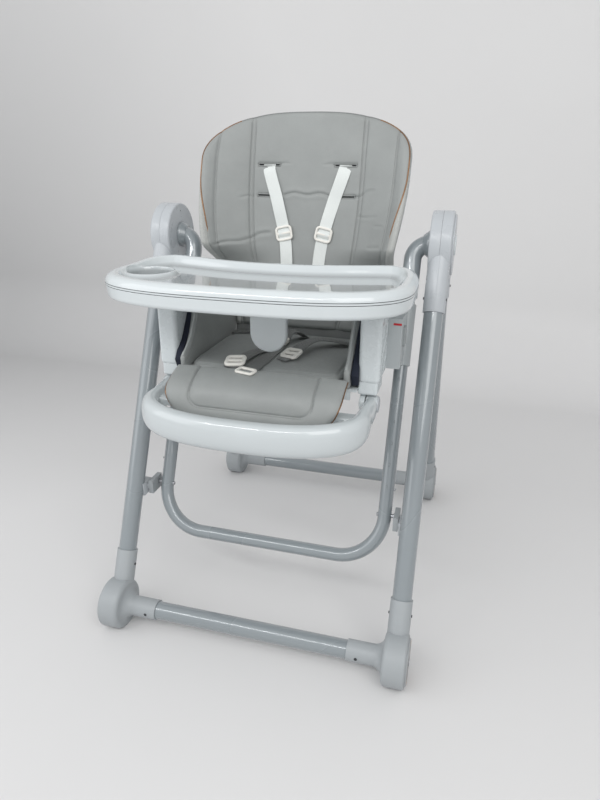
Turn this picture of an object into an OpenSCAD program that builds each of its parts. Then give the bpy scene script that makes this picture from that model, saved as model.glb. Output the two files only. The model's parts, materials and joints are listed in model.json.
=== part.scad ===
// Folding baby high chair with a height-adjustable reclining seat hung in a swinging inner frame.
// Millimetres, +Z up, the chair faces -Y. The origin is on the floor under the middle of the chair.

/* [Legs] */
// Height of the leg pivots above the floor
pivot_h = 783; // [740:1:820]
// Distance between the centre lines of the left and right legs
leg_track = 598; // [596:1:640]
// Lean of the front legs from vertical, degrees
front_lean = 23.9; // [22:0.1:26]
// Lean of the rear legs from vertical, degrees
rear_lean = 22.5; // [20:0.1:24]
// Outer diameter of the leg tubes
leg_d = 38; // [34:0.5:40]
// Wall of the steel tubes
tube_wall = 1.5; // [1:0.1:2.5]
// Distance from the pivot axis to the centre line of a leg
leg_offset = 34; // [30:0.5:38]
// Wall of the plastic sleeves round the tubes
sleeve_wall = 2.5; // [2:0.1:2.8]

/* [Hubs] */
// Diameter of the hub discs
hub_d = 134; // [124:1:140]
// Width of both hub halves together
hub_w = 44; // [42:1:48]
// Length of the boot below the pivot
boot_len = 147; // [120:1:180]
// Radius of the steel pivot pin
pin_r = 8; // [6:0.5:9]
// Radius of the fold button
fold_button_r = 20; // [14:0.5:26]
// Travel of the fold button
fold_travel = 4; // [2:0.5:5]

/* [Feet] */
// Radius of the foot discs
foot_r = 52; // [48:0.5:54]
// Width of a foot along the crossbar
foot_w = 45; // [44:0.5:50]
// Height of the crossbar above the floor
bar_h = 47; // [42:0.5:48]
// Diameter of the front and rear crossbars
bar_d = 37; // [32:0.5:38]
// Reach of the crossbar boots inward from the leg centre lines
bar_boot = 94; // [80:1:120]
// Height of the top of the leg sleeves
sleeve_h = 148; // [135:1:180]
// Radius of the wheels
wheel_r = 44.5; // [38:0.5:44.5]
// Width of a wheel
wheel_w = 14; // [10:0.5:16]

/* [Swing frame] */
// Distance from a leg's centre line inward to the centre line of the U tube's side
swing_inset = 55.3; // [54:0.1:57]
// Lean of the U tube from vertical, degrees
swing_lean = 22.9; // [21:0.1:24]
// Diameter of the U tube
swing_d = 28; // [24:0.5:28]
// Distance from the pivot axis to the bottom bar of the U tube
swing_len = 656; // [620:1:680]
// Bend radius of the U tube
swing_bend = 92; // [80:1:120]
// Diameter of the swing arms
arm_d = 36; // [33:0.5:36]

/* [Seat] */
// Distance from the leg pivots down to the top of the seat cushion
seat_drop = 211; // [205:1:215]
// Room beside the seat cushion for its soft side, up to the side panel
seat_side = 25.5; // [25:0.5:36]
// Thickness of the seat cushion
seat_pad_t = 24; // [15:0.5:26]
// Distance from a side panel's outer face to the centre line of the U tube's side
panel_inset = 22.7; // [22.2:0.1:23.2]
// Thickness of a side panel
panel_t = 40; // [36:0.5:44]
// Height of the armrests above the seat cushion
arm_rise = 139; // [133:1:141]
// Length of the slider sleeves along the tube
slider_len = 126; // [100:1:130]

/* [Backrest] */
// Lean of the backrest from vertical when upright, degrees
back_lean = 8.7; // [6:0.1:12]
// Length of the backrest from its hinge to its top
back_len = 483; // [470:1:500]
// Distance from the widest part of the backrest to the U tube's side
back_gap = 4.7; // [4.2:0.1:17]
// Thickness of the back pad
back_pad_t = 24; // [16:0.5:26]
// Thickness of the back shell
shell_t = 8; // [5:0.5:10]
// Forward reach of the backrest's side wings
wing_depth = 94; // [60:1:98]

/* [Tray] */
// Gap between an end of the tray and the inner side of a leg
tray_gap = 3; // [2:0.5:12]
// Height above the armrests of the line where the top tray meets the tray base
tray_rise = 26; // [25:0.5:32]
// Height of the rim above that line
rim_h = 19; // [14:0.5:24]
// Width of the tray's rim
rim_w = 26; // [20:0.5:30]
// Thickness of the tray's floors
tray_floor = 3; // [2:0.5:4]
// Radius of the cup recess
cup_r = 38; // [30:0.5:40]
// Width of the crotch guard
guard_w = 74; // [60:1:90]
// Clear height between the seat cushion and the crotch guard
guard_clear = 23; // [15:1:45]

/* [Leg rest] */
// Distance from a side panel's outer face inward to the middle of the footrest bar's side
foot_bar_inset = 18; // [17:0.5:19]
// Distance from the leg rest's pivot to the middle of the front bar
foot_bar_reach = 174; // [160:1:175]
// Height of the footrest bar's section
foot_bar_t = 60; // [48:0.5:62]
// Depth of the footrest bar's section
foot_bar_w = 36; // [28:0.5:36]

/* [Fits] */
// Gap round a shaft that turns in a hole
run_gap = 0.05; // [0.03:0.01:0.09]
// Gap between plastic parts that slide on each other
slide_gap = 0.3; // [0.2:0.05:0.5]
// Gap between a soft part and its neighbours
soft_gap = 0.4; // [0.3:0.1:0.8]

/* [Hidden] */
$fn = 64;

// Colours
tube_grey = [0.50, 0.54, 0.57];
hub_grey = [0.72, 0.74, 0.78];
foot_grey = [0.60, 0.63, 0.65];
shell_white = [0.84, 0.86, 0.87];
pad_grey = [0.60, 0.61, 0.61];
strap_grey = [0.80, 0.82, 0.83];
steel_dark = [0.30, 0.31, 0.33];
copper = [0.70, 0.52, 0.42];

// Frame
leg_x = leg_track / 2;
leg_r = leg_d / 2;
sleeve_r = leg_r + sleeve_wall;
hub_r = hub_d / 2;
half_gap = 0.2;
bar_shift = 10;
function reach(lean) = leg_offset * cos(lean)
    + tan(lean) * (pivot_h + leg_offset * sin(lean) - bar_h) + bar_shift;
front_reach = reach(front_lean);
rear_reach = reach(rear_lean);
hub_y = (front_reach - rear_reach) / 2;
tube_top = hub_r + 1.5;
rim_round = 4;
recess_gap = 1.5;
recess_depth = wheel_w - 3;
wheel_x0 = foot_w / 2 - recess_depth + 0.5;
tube_end_h = bar_h + wheel_r + recess_gap + 4;
function leg_end(lean) = (pivot_h + leg_offset * sin(lean) - tube_end_h) / cos(lean);
function sleeve_top(lean) = (pivot_h + leg_offset * sin(lean) - sleeve_h) / cos(lean);
function bar_at(lean) = (pivot_h + leg_offset * sin(lean) - bar_h) / cos(lean);
axle_r = 4;
cover_t = 3.5;
cover_r = hub_r - 7;
spring_len = 6;
recess_floor = hub_w / 2 - 14;

// Swing frame and what slides on it
swing_x = leg_x - swing_inset;
swing_r = swing_d / 2;
arm_r = arm_d / 2;
elbow_r = leg_x - hub_w / 2 - swing_x;
arm_face = leg_x - hub_w / 2 - 2 * half_gap;
arm_flare = 27;
arm_len = 112;
bush_wall = 2;
pin_inner = leg_x - hub_w / 2 - 13;
slider_top = arm_len + 14;
slider_r = swing_r + slide_gap + 3.5;
function tube_y(s) = -s * sin(swing_lean);
function tube_z(s) = pivot_h - s * cos(swing_lean);
lock_s = 560;
stop_s = slider_top + slider_len + 254;
box_x1 = swing_x + 4;
box_front = -166;
box_back = -78;
box_low = tube_z(slider_top + slider_len) + 14;
box_high = box_low + 100;

// Seat
panel_x = swing_x - panel_inset;
panel_in = panel_x - panel_t;
seat_w = 2 * (panel_in - seat_side);
panel_front = -203;
panel_back = -14;
collar_h = 26;
base_t = 5;
seat_h = pivot_h - seat_drop;
arm_h = seat_h + arm_rise;
panel_low = seat_h - 37;
seat_front = -269;
seat_rear = -3;
base_top = seat_h - seat_pad_t - soft_gap;
hinge_y = 30;
hinge_z = seat_h - 16;
rod_r = 5;
bolster_t = 18;
bolster_x = seat_w / 2 + soft_gap;

// Leg rest
foot_bar_half_w = panel_x - foot_bar_inset;
rest_y = -232;
rest_z = seat_h - 58;
rest_drop = 3.5;
cap_r = 17;
rest_pin_r = 6;

// Tray outline about the point (0, tray_mid)
tray_half_w = leg_x - leg_r - tray_gap;
tray_mid = -270;
tray_front_len = 151;
tray_rear_len = 165;
tray_dip = 65;
dip_half_w = tray_half_w - 57;
tray_h = arm_h + tray_rise;
tray_bottom = arm_h + 1.5;
tray_steps = 96;
cup_x = 61 - tray_half_w;
cup_y = -268;
cup_depth = 22;
guard_h = seat_h + guard_clear;
guard_y = -226;
guard_t = 14;
button_x0 = tray_half_w - 38;
button_y = tray_mid + 80;
button_half = 19;
button_z0 = tray_h - 22;
button_z1 = tray_h - 9;
button_travel = 3;

// ---- helpers ----

// Moves from the pivot axis: y and z there are relative to the hub and the floor
module at_hub() translate([0, hub_y, 0]) children();

module both_sides() for (side = [-1, 1]) scale_x(side) children();

// Mirrors its children to the left for side = -1
module scale_x(side) mirror([side < 0 ? 1 : 0, 0, 0]) children();

// Leg frame: origin on the pivot axis in the leg's plane, the leg runs towards -Z at y = dir * leg_offset
module leg_frame(side, dir, lean)
    scale_x(side) translate([leg_x, hub_y, pivot_h]) rotate([dir * lean, 0, 0]) children();

module x_cyl(r, x0, x1) translate([x0, 0, 0]) rotate([0, 90, 0]) cylinder(h = x1 - x0, r = r);

module x_cone(r0, r1, x0, x1)
    translate([x0, 0, 0]) rotate([0, 90, 0]) cylinder(h = x1 - x0, r1 = r0, r2 = r1);

// Disc about X whose two rims are rounded by rnd0 and rnd1
module rounded_disc(r, x0, x1, rnd0, rnd1)
    translate([x0, 0, 0]) rotate([0, 90, 0]) rotate_extrude() {
        w = x1 - x0;
        square([r - max(rnd0, rnd1), w]);
        translate([0, rnd0]) square([r, w - rnd0 - rnd1]);
        if (rnd0 > 0) translate([r - rnd0, rnd0]) circle(rnd0);
        if (rnd1 > 0) translate([r - rnd1, w - rnd1]) circle(rnd1);
    }

// Box from corner to corner
module block(low, high) translate(low) cube([high[0] - low[0], high[1] - low[1], high[2] - low[2]]);

// Side profile in the YZ plane, extruded from x0 to x1
module side_profile(points, x0, x1)
    translate([x0, 0, 0]) rotate([90, 0, 90]) linear_extrude(x1 - x0) polygon(points);

// ---- legs, hubs and feet ----

module leg_tube(side, dir, lean) color(tube_grey) leg_frame(side, dir, lean)
    translate([0, dir * leg_offset, -leg_end(lean)]) difference() {
        cylinder(h = leg_end(lean) - tube_top, r = leg_r);
        translate([0, 0, -1]) cylinder(h = leg_end(lean) - tube_top + 2, r = leg_r - tube_wall);
    }

// One half of a hub with its leg boot: the outer half for the front leg, the inner half for the rear leg
module hub_half(side, dir, lean, outer, bore_r) color(hub_grey) leg_frame(side, dir, lean) {
    own0 = outer ? half_gap : -hub_w / 2;
    own1 = outer ? hub_w / 2 : -half_gap;
    other0 = outer ? -hub_w / 2 - 2 : -half_gap;
    other1 = outer ? half_gap : hub_w / 2 + 2;
    difference() {
        union() {
            rounded_disc(hub_r, own0, own1, outer ? 0 : rim_round, outer ? rim_round : 0);
            translate([0, dir * leg_offset, -boot_len]) cylinder(h = boot_len - 24, r = sleeve_r);
        }
        x_cyl(hub_r + 2 * half_gap, other0, other1);
        x_cyl(bore_r, -hub_w, hub_w);
        translate([0, dir * leg_offset, -boot_len - 1]) cylinder(h = boot_len + 1 - tube_top, r = leg_r);
        if (outer) x_cyl(fold_button_r + slide_gap, recess_floor, hub_w);
        for (a = [0, 120, 240]) rotate([a - dir * lean, 0, 0]) translate([0, 0, hub_r - 16])
            x_cyl(2, outer ? recess_floor : -hub_w, outer ? hub_w : -hub_w / 2 + 3);
    }
}

// Concave flare of radius flare_r from a boot of radius r onto the disc face at x1
flare_r = 20;
module boot_flare(r, x1) translate([x1 - flare_r, 0, 0]) rotate([0, 90, 0]) rotate_extrude() difference() {
    square([r + flare_r, flare_r]);
    translate([r + flare_r, 0]) circle(flare_r);
}

module foot(side, dir, lean) color(foot_grey) {
    y = hub_y + dir * (dir < 0 ? front_reach : rear_reach);
    boot_r = bar_d / 2 + sleeve_wall;
    difference() {
        union() {
            scale_x(side) translate([leg_x, y, bar_h]) {
                rounded_disc(foot_r, -foot_w / 2, foot_w / 2, 9, 5);
                boot_flare(boot_r, -foot_w / 2);
                x_cyl(boot_r, -bar_boot, 0);
            }
            leg_frame(side, dir, lean) translate([0, dir * leg_offset, -bar_at(lean)])
                cylinder(h = bar_at(lean) - sleeve_top(lean), r = sleeve_r);
        }
        translate([-leg_track, y - 2 * foot_r, -foot_r]) cube([2 * leg_track, 4 * foot_r, foot_r]);
        leg_frame(side, dir, lean) translate([0, dir * leg_offset, -leg_end(lean)])
            cylinder(h = leg_end(lean), r = leg_r);
        scale_x(side) translate([leg_x, y, bar_h]) {
            x_cyl(bar_d / 2, -bar_boot - 1, -12);
            x_cyl(wheel_r + recess_gap, foot_w / 2 - recess_depth, foot_w);
            x_cyl(axle_r, foot_w / 2 - recess_depth - 14, foot_w);
        }
    }
}

module crossbar(dir) color(tube_grey)
    translate([0, hub_y + dir * (dir < 0 ? front_reach : rear_reach), bar_h]) difference() {
        x_cyl(bar_d / 2, -leg_x + 12, leg_x - 12);
        x_cyl(bar_d / 2 - tube_wall, -leg_x, leg_x);
    }

module axles(dir) color(steel_dark) both_sides()
    translate([leg_x, hub_y + dir * (dir < 0 ? front_reach : rear_reach), bar_h]) {
        x_cyl(axle_r, foot_w / 2 - recess_depth - 14, wheel_x0 + wheel_w);
        x_cyl(axle_r + 3, wheel_x0 + wheel_w - 0.2, wheel_x0 + wheel_w + 1.5);
    }

module wheel(side, dir) color(copper) scale_x(side)
    translate([leg_x, hub_y + dir * (dir < 0 ? front_reach : rear_reach), bar_h]) difference() {
        rounded_disc(wheel_r, wheel_x0, wheel_x0 + wheel_w, 3, 3);
        x_cyl(axle_r + run_gap, 0, foot_w);
        for (a = [0:60:300]) rotate([a, 0, 0]) translate([0, 0, wheel_r * 0.6])
            x_cyl(wheel_r * 0.16, 0, foot_w);
        x_cyl(axle_r + 5, wheel_x0 + wheel_w - 0.5, foot_w);
    }

// Screws through the boots of the legs, and one through each crossbar boot
module boot_screws(dir, lean) both_sides() {
    leg_frame(1, dir, lean) for (s = [boot_len - 28, sleeve_top(lean) + 30])
        translate([0, dir * leg_offset, -s]) for (turn = [-1, 1])
            x_cyl_between(turn, leg_r - tube_wall - 3, sleeve_r + 1.6);
    translate([leg_x - bar_boot + 20, hub_y + dir * (dir < 0 ? front_reach : rear_reach), bar_h])
        rotate([0, 0, dir * 90]) x_cyl(3, bar_d / 2 - tube_wall - 3, bar_d / 2 + sleeve_wall + 0.8);
}

// Short screw shank and head pointing along +X or -X
module x_cyl_between(turn, r0, r1) scale_x(turn) x_cyl(2.6, r0, r1);

module front_leg_left() leg_tube(-1, -1, front_lean);
module front_leg_right() leg_tube(1, -1, front_lean);
module rear_leg_left() leg_tube(-1, 1, rear_lean);
module rear_leg_right() leg_tube(1, 1, rear_lean);
module front_crossbar() crossbar(-1);
module rear_crossbar() crossbar(1);
module front_foot_left() foot(-1, -1, front_lean);
module front_foot_right() foot(1, -1, front_lean);
module rear_foot_left() foot(-1, 1, rear_lean);
module rear_foot_right() foot(1, 1, rear_lean);
module front_hub_left() hub_half(-1, -1, front_lean, true, pin_r);
module front_hub_right() hub_half(1, -1, front_lean, true, pin_r);
module rear_hub_left() hub_half(-1, 1, rear_lean, false, pin_r + run_gap);
module rear_hub_right() hub_half(1, 1, rear_lean, false, pin_r + run_gap);
module front_axles() axles(-1);
module rear_axles() axles(1);
module wheel_front_left() wheel(-1, -1);
module wheel_front_right() wheel(1, -1);
module wheel_rear_left() wheel(-1, 1);
module wheel_rear_right() wheel(1, 1);
module front_screws() color(steel_dark) boot_screws(-1, front_lean);
module rear_screws() color(steel_dark) boot_screws(1, rear_lean);

// Cover plates on the outer faces of the hubs, with the holes for the fold buttons
module hub_covers() color(hub_grey) both_sides() translate([leg_x, hub_y, pivot_h]) difference() {
    rounded_disc(cover_r, hub_w / 2, hub_w / 2 + cover_t, 0, 1.5);
    x_cyl(fold_button_r + slide_gap, 0, hub_w);
}

module fold_button(side) color(shell_white) scale_x(side) translate([leg_x, hub_y, pivot_h])
    rounded_disc(fold_button_r, recess_floor + spring_len + fold_travel + 1, hub_w / 2 + cover_t + 3, 0, 2);
module fold_button_left() fold_button(-1);
module fold_button_right() fold_button(1);

// Return springs, drawn at the length they have with the button pressed
module button_springs() color(steel_dark) both_sides() translate([leg_x, hub_y, pivot_h]) difference() {
    x_cyl(pin_r + 6, recess_floor, recess_floor + spring_len);
    x_cyl(pin_r + 3, 0, hub_w);
}

module pivot_pins() color(steel_dark) both_sides() translate([leg_x, hub_y, pivot_h])
    x_cyl(pin_r, pin_inner - leg_x, recess_floor);

// ---- swing frame ----

module swing_frame(side) scale_x(side) translate([swing_x, hub_y, pivot_h])
    rotate([-swing_lean, 0, 0]) children();

module swing_arm(side) color(tube_grey) difference() {
    union() {
        swing_frame(side) translate([elbow_r, 0, -elbow_r]) rotate([90, -90, 0])
            rotate_extrude(angle = 90) translate([elbow_r, 0]) circle(arm_r);
        swing_frame(side) translate([0, 0, -arm_len]) cylinder(h = arm_len - elbow_r, r = arm_r);
        scale_x(side) translate([0, hub_y, pivot_h])
            x_cone(arm_r + 0.5, arm_flare, arm_face - 15, arm_face - 4);
        scale_x(side) translate([0, hub_y, pivot_h]) x_cyl(arm_flare, arm_face - 4, arm_face);
    }
    swing_frame(side) translate([0, 0, -arm_len - 1]) cylinder(h = arm_len + 1 - elbow_r - 6, r = swing_r);
    scale_x(side) translate([0, hub_y, pivot_h]) x_cyl(pin_r + run_gap + bush_wall, pin_inner - 1, leg_x);
    scale_x(side) block([arm_face, hub_y - 100, pivot_h - 100], [leg_x, hub_y + 100, pivot_h + 100]);
}
module swing_arm_left() swing_arm(-1);
module swing_arm_right() swing_arm(1);

module pivot_bushes() color([0.9, 0.9, 0.88]) both_sides() translate([0, hub_y, pivot_h]) difference() {
    x_cyl(pin_r + run_gap + bush_wall, pin_inner - 1, arm_face);
    x_cyl(pin_r + run_gap, 0, leg_x);
}

// The U tube's solid for one radius, its open ends longer by extra
module u_solid(r, extra) translate([0, hub_y, pivot_h]) rotate([-swing_lean, 0, 0]) {
    top = elbow_r + 6 - extra;
    side_x = [-swing_x, swing_x];
    for (x = side_x) translate([x, 0, -swing_len + swing_bend])
        cylinder(h = swing_len - swing_bend - top, r = r);
    for (k = [0, 1]) translate([side_x[k] * (1 - swing_bend / swing_x), 0, -swing_len + swing_bend])
        rotate([90, 0, 0]) rotate([0, 0, 180 + 90 * k]) rotate_extrude(angle = 90)
            translate([swing_bend, 0]) circle(r);
    translate([0, 0, -swing_len]) x_cyl(r, -swing_x + swing_bend, swing_x - swing_bend);
}

module swing_tube() color(tube_grey) difference() {
    u_solid(swing_r, 0);
    u_solid(swing_r - tube_wall, 1);
}

// Place of the swing lock, at the height of the stud on the U tube
module at_lock() translate([0, hub_y + tube_y(lock_s), tube_z(lock_s)]) children();
stud_head_r = 6.5;
stud_end = swing_x + swing_r + 6;
catch_x0 = stud_end + 0.6;
catch_x1 = leg_x - leg_r - 5 - slide_gap;
guide_y = -20;
guide_r = 5;
guide_len = 13;

// Lock studs and stop pins that stand out of the U tube's sides
module swing_studs() color(steel_dark) {
    both_sides() at_lock() {
        x_cyl(4, swing_x - swing_r - 2.5, stud_end - 2);
        x_cyl(stud_head_r, stud_end - 2, stud_end);
    }
    both_sides() swing_frame(1) translate([0, 0, -stop_s]) x_cyl(2.5, swing_r - tube_wall - 1, swing_r + 3);
}

// Lock base: a block saddled on the inner side of each front leg, with a bore for the catch's guide pin
module lock_bases() color(hub_grey) difference() {
    both_sides() at_lock() {
        block([leg_x - leg_r - 3, -46, -14], [leg_x - 4, -12, 14]);
        translate([0, guide_y, 0]) x_cyl(11, leg_x - leg_r - 5, leg_x - leg_r + 5);
    }
    both_sides() at_lock() translate([0, guide_y, 0])
        x_cyl(guide_r + run_gap, catch_x1, catch_x1 + guide_len + 2);
    for (side = [-1, 1]) leg_frame(side, -1, front_lean) translate([0, -leg_offset, -leg_end(front_lean)])
        cylinder(h = leg_end(front_lean), r = leg_r);
}

// Sliding catch: pushed inward by its travel, its hole closes round the stud's head
module lock_catch(side) color(foot_grey) scale_x(side) at_lock() difference() {
    union() {
        block([catch_x0, -31, -15], [catch_x1, 12, 15]);
        translate([0, guide_y, 0]) x_cyl(guide_r, catch_x1 - 2, catch_x1 + guide_len);
    }
    x_cyl(stud_head_r + 0.5, 0, leg_x);
}
module lock_catch_left() lock_catch(-1);
module lock_catch_right() lock_catch(1);

// ---- seat carriage ----

module slider(side) color(shell_white) difference() {
    union() {
        swing_frame(side) translate([0, 0, -slider_top - slider_len])
            cylinder(h = slider_len, r = slider_r);
        scale_x(side) at_hub()
            block([panel_x, box_front, box_low], [box_x1, box_back, box_high]);
    }
    swing_frame(side) translate([0, 0, -slider_top - slider_len - 100])
        cylinder(h = slider_len + 200, r = swing_r + slide_gap);
    scale_x(side) at_hub() {
        block([box_x1 - 14, box_front + 22, box_low + 40], [box_x1 + 1, box_front + 46, box_high - 22]);
        block([panel_x + 10, box_front - 1, box_high - 13], [box_x1 - 1, box_front + 2, box_high - 9]);
    }
}
module slider_left() slider(-1);
module slider_right() slider(1);

// Button in the slider's outer face; it is pressed inward to free the slider
module height_button(side) color(hub_grey) scale_x(side) at_hub()
    block([box_x1 - 9, box_front + 22 + slide_gap, box_low + 40 + slide_gap],
        [box_x1 + 5, box_front + 46 - slide_gap, box_high - 22 - slide_gap]);
module height_button_left() height_button(-1);
module height_button_right() height_button(1);

module lock_marks() color([0.75, 0.1, 0.12]) both_sides() at_hub()
    block([panel_x + 10, box_front - 0.2, box_high - 13], [box_x1 - 1, box_front + 2, box_high - 9]);

// Side panel: front pillar with its collar, and the armrest above
panel_wall = 3;
module side_panel(side) color(shell_white) scale_x(side) at_hub() difference() {
    union() {
        side_profile([[panel_front, arm_h], [panel_front, panel_low + collar_h],
            [panel_front + 80, panel_low + collar_h], [panel_back - 60, seat_h + 46],
            [panel_back, arm_h - 48], [panel_back, arm_h]], panel_in, panel_x);
        block([panel_in, panel_front + 3, panel_low],
            [panel_x - 3, panel_front + 62, panel_low + collar_h + 4]);
        translate([0, rest_y, rest_z]) x_cyl(cap_r, panel_in + 4, panel_in + 14);
        side_profile([[rest_y, rest_z - 12], [rest_y, rest_z + 14], [panel_front + 6, panel_low + 6],
            [panel_front + 40, panel_low + 6], [panel_front + 40, rest_z]], panel_in + 4, panel_in + 14);
    }
    side_profile([[panel_front + panel_wall, arm_h - 12],
        [panel_front + panel_wall, panel_low + collar_h + 8],
        [panel_front + 76, panel_low + collar_h + 8], [panel_back - 64, seat_h + 50],
        [panel_back - panel_wall, arm_h - 48], [panel_back - panel_wall, arm_h - 12]],
        panel_in - 1, panel_x - panel_wall);
    translate([0, rest_y, rest_z]) x_cyl(rest_pin_r + run_gap, 0, panel_x + 1);
}
module side_panel_left() side_panel(-1);
module side_panel_right() side_panel(1);

// Seat base: floor under the cushion, a skirt, and the lugs of the recline hinge
lug_w = 30;
module seat_base() color(shell_white) at_hub() difference() {
    union() {
        block([-panel_in, seat_front + 14, base_top - base_t], [panel_in, seat_rear, base_top]);
        for (x = [-panel_in, panel_in - 6])
            block([x, panel_front + 70, base_top - 30], [x + 6, seat_rear, base_top]);
        block([-panel_in + 12, seat_front + 14, base_top - 22], [panel_in - 12, seat_front + 18, base_top]);
        both_sides()
            block([panel_in - 14, panel_front + 3, panel_low], [panel_in, panel_front + 72, base_top]);
        for (x = [-110, 80]) {
            block([x, seat_rear - 40, hinge_z - 14], [x + lug_w, hinge_y, base_top - base_t]);
            translate([0, hinge_y, hinge_z]) x_cyl(12, x, x + lug_w);
            block([x, seat_rear - 2, hinge_z - 12], [x + lug_w, hinge_y, base_top]);
            block([x, seat_rear + 2, base_top - 1], [x + lug_w, hinge_y, hinge_z + 6]);
        }
    }
    translate([0, hinge_y, hinge_z]) x_cyl(rod_r, -panel_x, panel_x);
}

module recline_rod() color(steel_dark) at_hub() translate([0, hinge_y, hinge_z]) x_cyl(rod_r, -124, 124);

module seat_pad() color(pad_grey) at_hub()
    block([-seat_w / 2, seat_front, seat_h - seat_pad_t], [seat_w / 2, seat_rear, seat_h]);

// Soft sides of the seat: they rise from the cushion's front corners to the armrests
module seat_bolsters() color(pad_grey) both_sides() at_hub()
    side_profile([[seat_front + 2, base_top + soft_gap], [seat_front + 2, seat_h + 6],
        [seat_front + 29, seat_h + 25], [panel_front - 2, seat_h + 77],
        [panel_front + 28, arm_h - 10], [seat_rear - 4, arm_h - 10], [seat_rear - 4, base_top + soft_gap]],
        bolster_x, bolster_x + bolster_t);

// Crotch strap, lap straps, buckle parts and adjusters that lie on the seat
strap_t = 2;
harness_z = seat_h + soft_gap;
module lap_harness() color(strap_grey) at_hub() {
    block([-14, -225, harness_z], [14, -120, harness_z + strap_t]);
    both_sides() block([18, -160, harness_z], [140, -136, harness_z + strap_t]);
    both_sides() block([20, -220, harness_z], [46, -196, harness_z + 7]);
    block([-24, -118, harness_z], [24, -82, harness_z + 12]);
}

// ---- backrest ----

// Local frame: origin on the recline hinge, +Z up the back, -Y towards the sitter
module back_frame() at_hub() translate([0, hinge_y, hinge_z]) rotate([-back_lean, 0, 0]) children();

function ease(t) = let (c = min(1, max(0, t))) c * c * (3 - 2 * c);
back_half_w = swing_x - swing_r - back_gap;
back_low_half = 148;
corner_w = 110;
wing_start = 150;
// Half width of the backrest at height w above the hinge
function half_at(w) = w > back_len - corner_w
    ? back_half_w * pow(max(0, 1 - pow((w - back_len + corner_w) / corner_w, 2.6)), 1 / 2.6)
    : back_half_w
        - (back_half_w - back_low_half)
            * pow(min(1, (back_len - corner_w - w) / (back_len - corner_w - 40)), 2.2);
// Forward reach of the wings at height w
function wing_at(w) = 4 + wing_depth * ease((w - wing_start) / 55)
    * (1 - 0.4 * ease((w - 200) / 220)) * (1 - 0.8 * ease((w - back_len + 110) / 105));
// Front surface of the backrest at height w and the distance x from its middle
function back_y(w, x) = -wing_at(w) * pow(abs(x) / half_at(min(w, back_len - corner_w)), 3);
back_rows = concat([for (w = [22:32:back_len - corner_w]) w],
    [for (a = [8:8:88]) back_len - corner_w + corner_w * sin(a)], [back_len - 0.02]);
back_cols = 19;

// Closed sheet that follows the backrest's surface from depth d0 to depth d1 behind it
module back_sheet(d0, d1) {
    n = len(back_rows);
    pts = [for (d = [d0, d1]) for (w = back_rows) for (k = [0:back_cols - 1])
        let (x = max(6, half_at(w)) * (2 * k / (back_cols - 1) - 1))
        [x, back_y(w, x) + d, w]];
    function id(side, r, c) = (side * n + r) * back_cols + c;
    faces = concat(
        [for (r = [0:n - 2]) for (c = [0:back_cols - 2])
            [id(0, r, c), id(0, r + 1, c), id(0, r + 1, c + 1), id(0, r, c + 1)]],
        [for (r = [0:n - 2]) for (c = [0:back_cols - 2])
            [id(1, r, c), id(1, r, c + 1), id(1, r + 1, c + 1), id(1, r + 1, c)]],
        [for (c = [0:back_cols - 2]) [id(0, 0, c), id(0, 0, c + 1), id(1, 0, c + 1), id(1, 0, c)]],
        [for (c = [0:back_cols - 2])
            [id(0, n - 1, c), id(1, n - 1, c), id(1, n - 1, c + 1), id(0, n - 1, c + 1)]],
        [for (r = [0:n - 2]) [id(0, r, 0), id(1, r, 0), id(1, r + 1, 0), id(0, r + 1, 0)]],
        [for (r = [0:n - 2]) [id(0, r, back_cols - 1), id(0, r + 1, back_cols - 1),
            id(1, r + 1, back_cols - 1), id(1, r, back_cols - 1)]]);
    polyhedron(pts, faces);
}

pad_front = -back_pad_t - shell_t / 2 - soft_gap;
module back_shell() color(shell_white) back_frame() {
    back_sheet(-shell_t / 2, shell_t / 2);
    for (x = [-78, 54]) difference() {
        union() {
            x_cyl(12, x, x + 24);
            block([x, -4, 0], [x + 24, 12, 60]);
        }
        x_cyl(rod_r + run_gap, -panel_x, panel_x);
        block([x - 1, -30, 22], [x + 25, shell_t / 2, 80]);
    }
    for (x = [-40, 32]) block([x, shell_t / 2 - 1, 320], [x + 8, shell_t / 2 + 16, 372]);
}

module back_pad() color(pad_grey) back_frame() back_sheet(pad_front, -shell_t / 2 - soft_gap);

strap_lift = 5;
// Shoulder straps from their slots down the front of the pad, with an adjuster on each
module shoulder_straps() color(strap_grey) back_frame() both_sides() {
    slot_x = 82;
    foot_x = 34;
    slot_w = 372;
    low_w = 60;
    tilt = atan((slot_x - foot_x) / (slot_w - low_w));
    translate([foot_x, pad_front - strap_lift, low_w]) rotate([0, tilt, 0]) {
        block([-12, -strap_t, 0], [12, 0, (slot_w - low_w) / cos(tilt)]);
        block([-16, -8, 160], [16, -strap_t, 186]);
    }
}

// Recline handle: a squeeze bar behind the top of the shell, between its two guide ribs
module recline_handle() color(hub_grey) back_frame()
    block([-32 + slide_gap, shell_t / 2 + slide_gap, 326], [32 - slide_gap, shell_t / 2 + 14, 350]);

// ---- leg rest ----

// Local frame: origin on the leg rest's pivot axis, -Y along the raised leg rest
module rest_frame() at_hub() translate([0, rest_y, rest_z]) rotate([rest_drop, 0, 0]) children();

bar_corner = 98;
end_w = 24;
// Centre line of the footrest bar's right half, from the pivot to the middle of the front
function bar_point(t) = t < 0.3
    ? [foot_bar_half_w, -(foot_bar_reach - bar_corner) * t / 0.3]
    : let (a = 90 * (t - 0.3) / 0.7)
        [foot_bar_half_w * pow(cos(a), 0.8), bar_corner - foot_bar_reach - bar_corner * pow(sin(a), 0.8)];
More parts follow.
